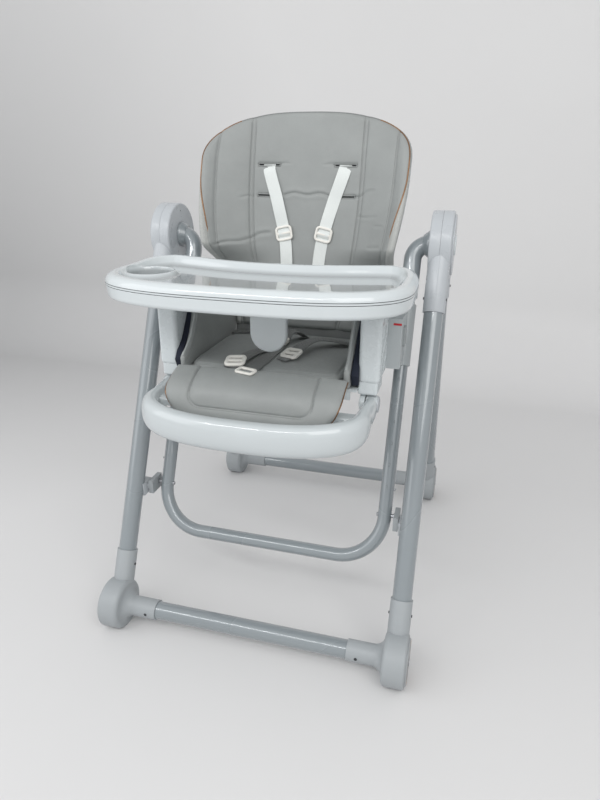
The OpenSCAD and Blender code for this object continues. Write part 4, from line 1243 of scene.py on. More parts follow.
def back_puff(x, w):
    """How far the pad's face stands proud of its plain surface."""
    size = pads()
    half = back_half(w)
    share = np.abs(x) / half
    middle = np.clip(1 - (share / INNER_SEAM) ** 2, 0, 1)
    span = np.clip((share - INNER_SEAM) / (SIDE_SEAM - INNER_SEAM), 0, 1)
    outer = np.clip((share - SIDE_SEAM) / (1 - SIDE_SEAM), 0, 1)
    puff = size.back_crown * ease(middle * 1.6) * 0.8 + size.side_puff * (4 * span * (1 - span)) ** 0.7
    puff = puff + 0.0025 * (4 * outer * (1 - outer)) ** 0.7
    from_inner = (share - INNER_SEAM) * half
    double = dent(from_inner - SEAM_GAP, 0.0013) + dent(from_inner + SEAM_GAP, 0.0013)
    puff = puff - size.seam_depth * 0.7 * double - size.seam_depth * 0.5 * dent(from_inner, 0.006)
    puff = puff - size.seam_depth * dent((share - SIDE_SEAM) * half, 0.0020)
    for points, depth, width in CREASES:
        near = path_distance(x, w, points)
        puff = puff - depth * dent(near, width) + depth * 0.35 * dent(near - 3 * width, 2 * width)
    puff = puff + 0.0011 * waves(x, w * 0.6, 0.075, 4) * ease(edge_share(x, w) / 0.12)
    for side in SIDES:
        for height, depth in ((0.374, 0.0060), (0.3105, 0.0045)):
            across = np.clip(np.abs(x - side * 0.0845) - 0.0215, 0, None)
            puff = puff - depth * dent(np.hypot(across, w - height), 0.0032)
            puff = puff - 0.0012 * dent(np.hypot(across, w - height), 0.012)
    beyond = (share - 1) * half + piping_inset(w)
    puff = puff - 0.0016 * dent(beyond, 0.0016) + 0.0016 * dent(beyond - 0.008, 0.006) * (w < 0.36)
    return puff


def back_face(x, w, lift=0.0):
    """Front surface of the pad in the backrest's frame."""
    inside = edge_share(x, w)
    roll = np.sqrt(np.clip(1 - (1 - np.clip(inside / 0.085, 0, 1)) ** 2, 0, 1))
    low_roll = np.sqrt(np.clip(1 - (1 - np.clip((w - LOW_EDGE) / 0.014, 0, 1)) ** 2, 0, 1))
    thick = 0.0045 + (PAD_THICK - 0.0045) * roll * low_roll + back_puff(x, w) * roll * low_roll
    y = back_depth(x, w) + SHELL_FRONT - 0.0004 - thick - lift
    return np.stack([x, y, w], axis=-1)


def build_back_pad(finishes):
    """Padded back: middle panel, side panels and rolled edge, with its seams and creases."""
    seams = (INNER_SEAM - 0.016, INNER_SEAM + 0.016, SIDE_SEAM, KNOTS[1], 0.9985)
    marks = [s * m for m in seams for s in SIDES]
    marks += [s * KNOTS[0] for s in SIDES]
    marks += [s * (m / BACK_HALF) for m in (0.060, 0.109) for s in SIDES]
    shares = graded(-1.0, 1.0, 0.022, marks, fine=0.0028, growth=0.30)
    rise_marks = [1.0, 0.0, (0.374 - LOW_EDGE) / (BACK_LENGTH - LOW_EDGE)]
    rise_marks += [(m - LOW_EDGE) / (BACK_LENGTH - LOW_EDGE) for m in (0.312, 0.208, 0.270)]
    rises = graded(0.0, 1.0, 0.0065, rise_marks, fine=0.0012, growth=0.22)
    x, w = back_grid(shares, rises)
    front = back_face(x, w)
    back = front.copy()
    inside = edge_share(x, w)
    roll = np.sqrt(np.clip(1 - (1 - np.clip(inside / 0.03, 0, 1)) ** 2, 0, 1))
    roll = roll * np.clip((w - LOW_EDGE) / 0.006, 0, 1)
    rear = back_depth(x, w) + SHELL_FRONT - 0.0004
    back[..., 1] = front[..., 1] * (1 - roll) + rear * roll
    for grid in (front, back):
        grid[0, :, 1] = (back_depth(x[0], w[0]) + SHELL_FRONT - 0.006)
    border = [(0, slice(None)), (-1, slice(None)), (slice(None), 0), (slice(None), -1)]
    for place in border:
        back[place] = front[place]
    shape = Shape()
    shape.pillow(on_back(front), on_back(back))
    cells = np.abs(shares[1:] + shares[:-1]) / 2
    woven = (cells[None] > KNOTS[1]) & (w[1:, 1:] < 0.362)
    shape.slots = [int(v) for v in np.concatenate([woven.ravel(), woven.ravel()])]
    pad = make_piece("back_cushion", shape, [finishes["leather"], finishes["gusset"]], "backrest",
                     ("back_pad",), smooth=75.0)
    return pad


SLOT_X = 0.0845
SLOT_HALF = 0.0215
SLOT_HEIGHTS = (0.374, 0.3105)


def build_back_trim(finishes):
    """Piping round the back, its sewn threads, the lips of the belt slots and the painted shade inside them.
    """
    size = pads()
    shape = Shape()
    inset = 0.0030
    turn = np.linspace(0, math.pi / 2, 70)
    arch_x = (BACK_HALF - inset) * spow(np.cos(turn), 2 / 2.6)
    arch_w = BACK_TURN + (BACK_CORNER - inset) * spow(np.sin(turn), 2 / 2.6)
    for side in SIDES:
        rise = np.linspace(0.226, BACK_TURN, 110)[:-1]
        straight = np.column_stack([back_half(rise) - piping_inset(rise), rise])
        flat = smooth_path(np.vstack([straight, np.column_stack([arch_x, arch_w])]), 230)
        line = back_face(side * flat[:, 0], flat[:, 1], 0.0004)
        coloured = flat[:, 0] > 0.150
        sink = 0.0022 * ease((0.245 - flat[:, 1]) / 0.018)
        line[:, 1] += sink
        shape.tube(on_back(line[coloured]), size.piping_radius, 0, sides=10)
        last = int(np.argmin(coloured)) - 1
        shape.tube(on_back(line[last:]), size.piping_radius, 1, sides=10)
    for side in SIDES:
        rise = np.linspace(0.04, 0.462, 260)
        for share, offset in ((INNER_SEAM, -SEAM_GAP - 0.0016), (INNER_SEAM, SEAM_GAP + 0.0016),
                              (SIDE_SEAM, -0.0032)):
            x = side * (share * back_half(rise) + offset)
            sewn = edge_share(x, rise) > 0.045
            stitches(shape, on_back(back_face(x[sewn], rise[sewn], 0.0002)), (0, -1, 0), 2, pitch=0.0040,
                     radius=0.0004)
    for side in SIDES:
        for height in SLOT_HEIGHTS:
            turn = np.linspace(0, 2 * math.pi, 56, endpoint=False)
            x = side * SLOT_X + SLOT_HALF * np.sign(np.cos(turn)) + 0.0026 * np.cos(turn)
            w = height + 0.0026 * np.sin(turn)
            loop = smooth_path(np.column_stack([x, w]), 90)[:-1]
            rim = back_face(loop[:, 0], loop[:, 1], 0.0)
            above = back_face(loop[:, 0], np.full(len(loop), height + 0.006), 0.0)
            rim[:, 1] = rim[:, 1] * 0.35 + 0.65 * above[:, 1]
            shape.tube(on_back(rim), 0.0011, 3, closed=True, sides=8)
            # A dark rod along each slot's floor: painted shade inside the slot.
            reach = SLOT_HALF + 0.0012
            inside = np.column_stack([side * SLOT_X + np.linspace(-reach, reach, 12), np.full(12, height)])
            floor = back_face(inside[:, 0], inside[:, 1], 0.0)
            shape.tube(on_back(floor), 0.0016, 4, sides=8, up=(0, 0, 1))
    return make_piece("back_trim", shape, [finishes["piping"], finishes["leather_edge"], finishes["thread"],
                                           finishes["leather"], finishes["dark"]],
                      "backrest", smooth=60.0)


# ---- straps ----


def make_strap(name, strips, materials, body, replaced=()):
    """Flat belts. Each strip is a path, its outward direction, width, thickness and material number."""
    points, faces, spots, slots = [], [], [], []
    for path, outward, width, thick, slot in strips:
        path = np.asarray(path, float)
        across = np.linspace(-1, 1, 9)
        rise = thick * (0.5 + 0.18 * (1 - across ** 8)) * (1 - 0.45 * across ** 12)
        top = np.column_stack([across * width / 2, rise])
        low = top[::-1] * np.array([1.0, -1.0])
        section = np.vstack([top, low])
        rings = sweep(path, section, up=outward)
        steps = np.concatenate([[0], np.cumsum(np.linalg.norm(np.diff(path, axis=0), axis=1))])
        base, count = len(points), section.shape[0]
        points.extend(rings.reshape(-1, 3).tolist())
        spots.extend([(section[j, 0], steps[i]) for i in range(len(path)) for j in range(count)])
        belt = grid_faces(len(path), count, wrap=True, base=base)
        belt.append(tuple(base + j for j in range(count))[::-1])
        belt.append(tuple(base + (len(path) - 1) * count + j for j in range(count)))
        faces.extend(belt)
        slots.extend([slot] * len(belt))
    mesh = bpy.data.meshes.new(name)
    mesh.from_pydata(points, [], faces)
    mesh.polygons.foreach_set("material_index", slots)
    layer = mesh.uv_layers.new(name="strip")
    for loop in mesh.loops:
        layer.data[loop.index].uv = spots[loop.vertex_index]
    fix = bmesh.new()
    fix.from_mesh(mesh)
    bmesh.ops.recalc_face_normals(fix, faces=fix.faces)
    for face in fix.faces:
        face.smooth = True
    for edge in fix.edges:
        if len(edge.link_faces) == 2 and edge.calc_face_angle(0) > math.radians(60):
            edge.smooth = False
    fix.to_mesh(mesh)
    fix.free()
    piece = bpy.data.objects.new(name, mesh)
    bpy.context.scene.collection.objects.link(piece)
    for material in materials:
        mesh.materials.append(material)
    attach(piece, body)
    if replaced:
        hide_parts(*replaced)
    return piece


def frame_loop(shape, centre, right, up, width, height, bar, slot=0, middle=True):
    """Adds a belt adjuster: a rounded frame and its middle bar."""
    centre, right, up = (np.asarray(v, float) for v in (centre, right, up))
    right = right / np.linalg.norm(right)
    up = up - right * (up @ right)
    up = up / np.linalg.norm(up)
    face = np.cross(right, up)
    outline = rounded_outline([(-width / 2, -height / 2), (width / 2, -height / 2), (width / 2, height / 2),
                               (-width / 2, height / 2)], min(width, height) * 0.22)
    even = smooth_path(np.vstack([outline, outline[:1]]), 73)[:-1]
    path = centre + even[:, :1] * right + even[:, 1:] * up
    turn = np.linspace(0, 2 * math.pi, 14, endpoint=False)
    section = np.column_stack([spow(np.cos(turn), 0.7) * bar * 0.62, spow(np.sin(turn), 0.7) * bar * 0.5])
    shape.rings(sweep(path, section, True, face), slot, closed=True)
    if middle:
        rod = centre + np.linspace(-width / 2, width / 2, 8)[:, None] * right
        shape.rings(sweep(rod, section, False, face), slot)


def strap_line(side, count=120):
    """Middle of a shoulder strap on the pad as x and w."""
    line = smooth_path([(0.0845, 0.3775), (0.0844, 0.3710), (0.0825, 0.3610), (0.0750, 0.3370),
                        (0.062, 0.298), (0.046, 0.237), (0.0385, 0.195), (0.0355, 0.150), (0.0345, 0.105),
                        (0.0335, 0.062)], count)
    return np.column_stack([side * line[:, 0], line[:, 1]])


def build_shoulder_straps(finishes):
    """Shoulder straps from the upper slots down the pad, with a loose tail and an adjuster on each."""
    size = pads()
    strips = []
    glides = Shape()
    for side in SIDES:
        line = strap_line(side)
        share = np.linspace(0, 1, len(line))
        lift = 0.0016 + 0.0022 * np.sin(share * 9 + side) ** 2 * ease(share / 0.15)
        lift = lift + 0.006 * ease((share - 0.86) / 0.14)
        lift = lift - 0.0050 * (1 - ease(share / 0.035))
        face = back_face(line[:, 0], line[:, 1], 0.0)
        taut = [face[max(0, i - 4):i + 5, 1].min() for i in range(len(face))]
        face[:, 1] = np.where(share < 0.06, face[:, 1], taut)
        path = on_back(face)
        path[:, 1] -= lift
        level = path.copy()
        for _ in range(6):
            level[1:-1] = (level[:-2] + level[1:-1] * 2 + level[2:]) / 4
        strips.append((level, (0, -1, 0.12), size.strap_width, 0.0014, 0))
        at = np.argmin(np.abs(line[:, 1] - 0.231))
        centre = level[at] + np.array([0, -0.0022, 0.0])
        along = level[at + 3] - level[at - 3]
        frame_loop(glides, centre, np.cross(along, (0, 1, 0)), along, 0.0330, 0.0270, 0.0043)
        over = level[at - 3:at + 4].copy()
        over[:, 1] -= 0.0034 * np.sin(np.linspace(0, math.pi, 7))
        strips.append((over, (0, -1, 0.12), size.strap_width * 0.98, 0.0013, 0))
    straps = make_strap("shoulder_webbing", strips, [finishes["webbing"]], "backrest", ("shoulder_straps",))
    adjusters = make_piece("strap_glides", glides, [finishes["buckle"]], "backrest", smooth=60.0)
    return straps, adjusters


def build_lap_harness(finishes):
    """Crotch strap, waist straps, their adjusters and the buckle on the seat."""
    top = SEAT_HIGH.z
    y = HUB_Y
    crown = pads().seat_crown

    def lie(points, lift):
        """Points laid on the cushion."""
        points = np.asarray(points, float)
        z = top + seat_rise(points[:, 0], points[:, 1] + y) + lift
        return np.column_stack([points[:, 0], points[:, 1] + y, z])

    belts = [
        # middle line, width, height of its arch, finish
        ([(-0.012, -0.100), (-0.012, -0.150), (-0.014, -0.205), (-0.018, -0.250), (-0.022, -0.284)],
         0.036, 0.0, 1),
        ([(-0.062, -0.272), (-0.057, -0.254), (-0.048, -0.212), (-0.030, -0.168), (-0.010, -0.130)],
         0.030, 0.004, 1),
        ([(0.022, -0.215), (0.0365, -0.190), (0.048, -0.150), (0.066, -0.110), (0.105, -0.078),
          (0.146, -0.062)], 0.028, 0.016, 1),
        ([(-0.146, -0.030), (-0.100, -0.024), (-0.060, -0.036), (-0.034, -0.070), (-0.018, -0.112)],
         0.028, 0.003, 1),
        ([(0.026, -0.040), (0.014, -0.062), (-0.002, -0.084), (-0.010, -0.110)], 0.028, 0.020, 1),
    ]
    strips = []
    steps, above_cushion, thickness = 50, 0.0018, 0.0016
    for middle, width, arch, finish in belts:
        line = smooth_path(middle, steps)
        lift = above_cushion + arch * np.sin(np.linspace(0, math.pi, steps)) ** 1.5
        strips.append((lie(line, lift), (0, 0, 1), width, thickness, finish))
    webbing = make_strap("lap_webbing", strips, [finishes["webbing"], finishes["webbing_dark"]], "seat",
                         ("lap_harness",))
    parts = Shape()
    for place, turn in (((-0.057, -0.254), 0.10), ((0.0365, -0.190), -0.40)):
        spot = lie([place], 0.0085)[0]
        right = (math.cos(turn), math.sin(turn), 0.06)
        frame_loop(parts, spot, right, (-math.sin(turn), math.cos(turn), 0.30), 0.033, 0.026, 0.0066)
    ring = (-0.0225, -0.291 + y, top + 0.0050)
    frame_loop(parts, ring, (1, -0.30, 0), (0.30, 1, 0.10), 0.035, 0.018, 0.0050, middle=False)
    body = rounded_outline([(-0.036, -0.128), (0.006, -0.128), (0.006, -0.090), (-0.036, -0.090)], 0.007)
    parts.slab(body, top + crown + 0.0034, top + crown + 0.0124, 0.0030,
               lambda p: np.column_stack([p[:, 0], p[:, 1] + y, p[:, 2]]))
    buckle = make_piece("buckle_parts", parts, [finishes["buckle"]], "seat", smooth=60.0)
    return webbing, buckle


# ---- seat ----


def seat_rise(x, y):
    """Height of the cushion's face over its plain top."""
    size = pads()
    s = np.clip(np.abs(x) / SEAT_HIGH.x, 0, 1)
    middle_y, half_y = (SEAT_LOW.y + SEAT_HIGH.y) / 2, (SEAT_HIGH.y - SEAT_LOW.y) / 2
    t = np.clip(np.abs(y - middle_y) / half_y, 0, 1)
    rise = size.seat_crown * (1 - s ** 2.4) * (1 - t ** 4)
    return rise + 0.0012 * waves(np.asarray(x), np.asarray(y), 0.085, 9) * (1 - s ** 4) * (1 - t ** 6)


def build_seat_cushion(finishes):
    """Seat cushion with a crowned top, a rolled front and seams pulled in along its sides and front."""
    size = pads()
    marks = (-1.0, 1.0, -0.94, 0.94)
    s = graded(-1, 1, 0.05, marks, fine=0.006, growth=0.3)
    t = graded(-1, 1, 0.05, marks, fine=0.006, growth=0.3)
    u, v = np.meshgrid(s, t)
    middle_y, half_y = (SEAT_LOW.y + SEAT_HIGH.y) / 2, (SEAT_HIGH.y - SEAT_LOW.y) / 2
    x = SEAT_HIGH.x * u * (1 - 0.055 * np.abs(v) ** 9)
    y = middle_y + half_y * v * (1 - 0.06 * np.abs(u) ** 9)
    edge = np.maximum(np.abs(u), np.abs(v))
    inside = np.clip((1 - (np.abs(u) ** 10 + np.abs(v) ** 10) ** 0.1) / 0.075, 0, 1)
    roll = np.sqrt(np.clip(1 - (1 - inside) ** 2, 0, 1))
    middle_z = (SEAT_LOW.z + SEAT_HIGH.z) / 2 + 0.003
    top = middle_z + (SEAT_HIGH.z - middle_z) * roll + seat_rise(x, y) * ease(inside)
    seam = dent((np.abs(u) - 0.93) * SEAT_HIGH.x, 0.0022) * (np.abs(v) < 0.95)
    front_seam = dent((v + 0.925) * half_y, 0.0022)
    top = top - size.seam_depth * np.maximum(seam, front_seam) * ease(inside)
    low = middle_z - (middle_z - SEAT_LOW.z) * roll
    low[edge >= 0.999] = middle_z
    top[edge >= 0.999] = middle_z
    shape = Shape()
    shape.pillow(np.stack([x, y, top], axis=-1), np.stack([x, y, low], axis=-1))
    cushion = make_piece("seat_cushion", shape, [finishes["leather"]], "seat", ("seat_pad",),
                         smooth=75.0)
    return cushion


BOLSTER_EDGE = [(-0.2670, 0.0055), (-0.2640, 0.0160), (-0.2450, 0.0265), (-0.2280, 0.0420), (-0.2120, 0.0650),
                (-0.2000, 0.0830), (-0.1900, 0.0980), (-0.1760, 0.1180), (-0.1560, 0.1262), (-0.1200, 0.1280)]


def build_bolsters(finishes):
    """Padded side walls of the seat with their piping, and the dark liner behind them."""
    seat_top = SEAT_HIGH.z
    walls = Shape()
    liner = Shape()
    edge = np.array([(a, seat_top + b) for a, b in BOLSTER_EDGE])
    upper = smooth_path(edge, 46)
    rear = [(-0.004, seat_top + 0.127), (0.0160, seat_top + 0.113), (0.0320, seat_top + 0.070),
            (0.0350, seat_top - 0.015)]
    for side in SIDES:
        rail = smooth_path(np.vstack([upper, rear]), 110)
        rail[:, 0] += HUB_Y
        base = np.column_stack([np.linspace(rail[0, 0] + 0.001, rail[-1, 0], len(rail)),
                                np.full(len(rail), seat_top - 0.0215)])
        shares = graded(0.0, 1.0, 0.055, (1.0,), fine=0.004, growth=0.3)
        grid = base[None] + (rail - base)[None] * shares[:, None, None]
        drop = np.linalg.norm(rail - base, axis=1)[None] * (1 - shares[:, None])
        along = np.linspace(0, 1, len(rail))[None] * np.ones((len(shares), 1))
        border = np.minimum(drop, 0.3 * np.minimum(along, 1 - along)) / 0.010
        roll = np.sqrt(np.clip(1 - (1 - np.clip(border, 0, 1)) ** 2, 0, 1))
        wide = 0.0060 + 0.0030 * ease((grid[..., 0] - HUB_Y + 0.225) / 0.060)
        middle = 0.1565 + wide
        puff = 0.0014 * waves(grid[..., 0], grid[..., 1], 0.07, 3 + side) * roll
        crease = 0.0018 * dent(drop - 0.0145, 0.0016) * roll
        inner = side * (middle - wide * (0.15 + 0.85 * roll) - puff + crease)
        outer = side * (middle + wide * (0.15 + 0.85 * roll))
        near = np.stack([inner, grid[..., 0], grid[..., 1]], axis=-1)
        far = np.stack([outer, grid[..., 0], grid[..., 1]], axis=-1)
        for place in ((0, slice(None)), (-1, slice(None)), (slice(None), 0), (slice(None), -1)):
            far[place] = near[place] = np.column_stack([side * middle[place], near[place][:, 1:]])
        walls.pillow(near, far, 0)
        line = np.column_stack([side * (middle[-1] - 0.0010), rail])[2:86]
        line[:, 1] -= 0.0006
        walls.tube(line, 0.0028, 1, sides=12)
        front = [(-0.2590, 0.0030), (-0.2440, 0.0225), (-0.2265, 0.0385), (-0.2100, 0.0620),
                 (-0.1980, 0.0800), (-0.1880, 0.0950), (-0.1745, 0.1140), (-0.1560, 0.1230)]
        sheet = smooth_path([(a + HUB_Y, seat_top + b) for a, b in front], 30)
        sheet = np.vstack([sheet, [(-0.148 + HUB_Y, seat_top + 0.118), (-0.148 + HUB_Y, seat_top - 0.018),
                                   (-0.250 + HUB_Y, seat_top - 0.018)]])
        turned = sheet[::-1]
        low, high = sorted((side * 0.1692, side * 0.1835))
        yz_slab(liner, turned, low, high, 0.0018, 0, steps=3)
    pair = make_piece("seat_walls", walls, [finishes["leather"], finishes["leather_pale"]], "seat",
                      ("seat_bolsters",), smooth=70.0)
    lined = make_piece("seat_liner", liner, [finishes["liner"]], "seat", smooth=50.0)
    return pair, lined


def build_seat_fold(finishes):
    """Loose fold of the cover that closes the gap between the seat cushion and the back pad."""
    rear, top = SEAT_HIGH.y, SEAT_HIGH.z
    low_back = on_back([[0.0, -0.0240, 0.0260], [0.0, -0.0180, 0.0480]])
    profile = np.array([(rear - 0.022, top - 0.0030), (rear - 0.009, top - 0.0040),
                        (rear - 0.001, top - 0.0090), (rear + 0.003, top - 0.0125),
                        (rear + 0.0065, top - 0.0100), low_back[0][1:], low_back[1][1:]])
    line = smooth_path(profile, 40)
    xs = np.linspace(-1, 1, 61)
    half = 0.1545
    sag = 0.0012 * waves(xs[None] * half, line[:, :1], 0.05, 31)
    skin = np.stack([np.broadcast_to(xs * half, sag.shape), line[:, :1] + sag * 0.4, line[:, 1:] + sag],
                    axis=-1)
    shape = Shape()
    shape.add(skin, grid_faces(*skin.shape[:2]))
    fold = make_piece("seat_fold", shape, [finishes["leather_edge"]], None, smooth=75.0)
    thick = fold.modifiers.new("cloth thickness", "SOLIDIFY")
    thick.thickness = 0.0016
    thick.offset = 0.0
    apply_modifiers(fold)
    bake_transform(fold)
    return fold


# ---- leg rest ----

CALF_PROFILE = [(-0.0420, 0.0640), (-0.0640, 0.0588), (-0.0840, 0.0512), (-0.0990, 0.0420), (-0.1085, 0.0310),
                (-0.1150, 0.0180), (-0.1190, 0.0030), (-0.1210, -0.0160)]
CALF_BOARD = [(-0.0420, 0.0456), (-0.0940, 0.0326), (-0.1026, 0.0276), (-0.1026, -0.0060), (-0.1026, -0.0160)]


def board_distance(y, z):
    """Distance from points of the leg rest's frame to the outer face of the calf board."""
    best = np.full(len(y), 1.0)
    for (ay, az), (by, bz) in zip(CALF_BOARD[:-1], CALF_BOARD[1:]):
        dy, dz = by - ay, bz - az
        t = np.clip(((y - ay) * dy + (z - az) * dz) / (dy * dy + dz * dz), 0, 1)
        best = np.minimum(best, np.hypot(y - ay - t * dy, z - az - t * dz))
    return best


def build_calf_pad(finishes):
    """Pad over the calf board: rolled border, sewn inner panel and piping."""
    size = pads()
    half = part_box("calf_pad")[1].x
    line = smooth_path(CALF_PROFILE, 120)
    steps = np.concatenate([[0], np.cumsum(np.linalg.norm(np.diff(line, axis=0), axis=1))])
    total = steps[-1]
    rows = graded(0, total, 0.0042, (0.0, total, total - 0.029), fine=0.0010, growth=0.25)
    shares = graded(-1, 1, 0.030, (-1.0, 1.0, -0.69, 0.69), fine=0.005, growth=0.25)
    tangent = np.gradient(line, axis=0)
    tangent /= np.linalg.norm(tangent, axis=1)[:, None]
    normal = np.column_stack([-tangent[:, 1], tangent[:, 0]])
    if normal[0] @ np.array([0.0, 1.0]) < 0:
        normal = -normal
    py, pz, ny, nz = (np.interp(rows, steps, a) for a in (line[:, 0], line[:, 1], normal[:, 0], normal[:, 1]))
    s, d = np.meshgrid(shares, rows)
    low_corner = np.clip((d - (total - 0.072)) / 0.072, 0, 1)
    reach = half - 0.060 * (1 - np.sqrt(np.clip(1 - low_corner ** 2, 0, 1)))
    x = s * reach
    from_side = reach - np.abs(x)
    border = np.minimum(np.minimum(from_side, total - d), d * 1.2)
    roll = np.sqrt(np.clip(1 - (1 - np.clip(border / 0.011, 0, 1)) ** 2, 0, 1))
    inner_half, inner_low, bend = 0.1175, total - 0.029, 0.024
    panel_side = inner_half - np.abs(x)
    panel_low = inner_low - d
    to_panel = np.minimum(panel_side, panel_low)
    to_panel = np.where((panel_side < bend) & (panel_low < bend),
                        bend - np.hypot(bend - panel_side, bend - panel_low), to_panel)
    swell = size.calf_puff * ease(to_panel / 0.030) * (1 - 0.25 * (x / 0.12) ** 2)
    rim = np.clip(-to_panel / np.maximum(border - to_panel, 1e-4), 0, 1)
    swell = np.where(to_panel < 0, 0.0030 * (4 * rim * (1 - rim)), swell)
    swell = swell - size.seam_depth * dent(to_panel, 0.0016)
    swell = swell + 0.0009 * waves(x, d, 0.05, 21) * roll
    room = np.minimum(0.0160, board_distance(py, pz) - 0.0008)[:, None]
    out = swell * roll + room * 0.5 * roll - room * 0.5
    into = -room * 0.5 * roll - room * 0.5
    top = np.stack([x, py[:, None] + ny[:, None] * out, pz[:, None] + nz[:, None] * out], axis=-1)
    low = np.stack([x, py[:, None] + ny[:, None] * into, pz[:, None] + nz[:, None] * into], axis=-1)
    for place in ((0, slice(None)), (-1, slice(None)), (slice(None), 0), (slice(None), -1)):
        low[place] = top[place]
    shape = Shape()
    shape.pillow(on_rest(top), on_rest(low), 0)
    rim_line = np.vstack([top[:, 0], top[-1, 1:-1], top[::-1, -1]])
    moved = np.concatenate([[True], np.linalg.norm(np.diff(rim_line, axis=0), axis=1) > 1e-5])
    rim_line = smooth_path(rim_line[moved], 240)
    shape.tube(on_rest(rim_line), size.piping_radius, 1, sides=10)
    side_x, low_d = inner_half + 0.0022, inner_low + 0.0022
    down = np.linspace(0.004, low_d - bend, 60)
    turn = np.linspace(0, math.pi / 2, 16)[1:-1]
    quarter = np.column_stack([side_x - bend + bend * np.cos(turn), low_d - bend + bend * np.sin(turn)])
    across = np.linspace(side_x - bend, bend - side_x, 70)
    seam = np.vstack([np.column_stack([np.full(60, side_x), down]), quarter,
                      np.column_stack([across, np.full(70, low_d)]), quarter[::-1] * np.array([-1, 1]),
                      np.column_stack([np.full(60, -side_x), down[::-1]])])
    lift = 0.0006
    threads = np.column_stack([
        seam[:, 0],
        np.interp(seam[:, 1], rows, py) + np.interp(seam[:, 1], rows, ny) * lift,
        np.interp(seam[:, 1], rows, pz) + np.interp(seam[:, 1], rows, nz) * lift])
    stitches(shape, on_rest(threads), (0, -0.3, 0.9), 2, pitch=0.0045, radius=0.00045)
    pad = make_piece("calf_cushion", shape, [finishes["leather"], finishes["piping"], finishes["thread"]],
                     "leg_rest", ("calf_pad",), smooth=75.0)
    return pad


# ---- printed height numbers ----

GLYPHS = {
    "1": [[(0.2, 0.8), (0.5, 1.0), (0.5, 0.0)]],
    "2": [[(0.1, 0.8), (0.3, 1.0), (0.7, 1.0), (0.9, 0.8), (0.9, 0.6), (0.1, 0.0), (0.9, 0.0)]],
    "3": [[(0.1, 0.95), (0.5, 1.0), (0.9, 0.8), (0.8, 0.6), (0.5, 0.52), (0.8, 0.45), (0.9, 0.2), (0.5, 0.0),
           (0.1, 0.08)]],
    "4": [[(0.7, 0.0), (0.7, 1.0), (0.1, 0.3), (0.95, 0.3)]],
    "5": [[(0.85, 1.0), (0.2, 1.0), (0.15, 0.55), (0.5, 0.62), (0.85, 0.45), (0.85, 0.2), (0.5, 0.0),
           (0.1, 0.08)]],
    "6": [[(0.8, 0.95), (0.45, 1.0), (0.15, 0.6), (0.15, 0.25), (0.45, 0.0), (0.85, 0.2), (0.85, 0.42),
           (0.5, 0.58), (0.17, 0.42)]],
}


def build_numbers(finishes):
    """Height numbers printed on the sides of the seat tube."""
    shape = Shape()
    radius = 0.01396
    lowest, spacing = -0.500, 0.044
    digit_size = np.array([0.0042, 0.0068])
    for side in SIDES:
        for index, digit in enumerate("654321"):
            along = lowest + spacing * (5 - index)
            for stroke in GLYPHS[digit]:
                flat = np.array(stroke) * digit_size - digit_size / 2
                legs = [np.linspace(a, b, 5)[:-1] for a, b in zip(flat[:-1], flat[1:])]
                dense = np.vstack(legs + [flat[-1:]])
                angle = dense[:, 0] / radius
                ring = np.column_stack([radius * np.sin(angle), -radius * np.cos(angle), along + dense[:, 1]])
                shape.tube(on_tube(ring, side), 0.00020, sides=5)
    return make_piece("height_numbers", shape, [finishes["ink"]], "swing")


# ---- studio ----


def camera_matrix():
    """Where the camera stands and which way it looks."""
    yaw, pitch, roll = math.radians(15.385), math.radians(21.776), math.radians(0.379)
    ahead = Vector((-math.sin(yaw) * math.cos(pitch), math.cos(yaw) * math.cos(pitch), -math.sin(pitch)))
    level = Vector((math.cos(yaw), math.sin(yaw), 0.0))
    up = level.cross(ahead)
    right = level * math.cos(roll) + up * math.sin(roll)
    up = right.cross(ahead)
    turn = Matrix((right, up, -ahead)).transposed().to_4x4()
    return Matrix.Translation(Vector((0.3608, -1.2918, 0.9496))) @ turn


def lamp(name, size, power, place, aim, tone):
    """A large soft lamp that looks at a point."""
    data = bpy.data.lights.new(name, "AREA")
    data.shape = "RECTANGLE"
    data.size, data.size_y = size
    data.energy = power
    data.color = tone
    piece = bpy.data.objects.new(name, data)
    bpy.context.scene.collection.objects.link(piece)
    piece.location = place
    piece.rotation_euler = (Vector(aim) - Vector(place)).to_track_quat("-Z", "Y").to_euler()
    return piece


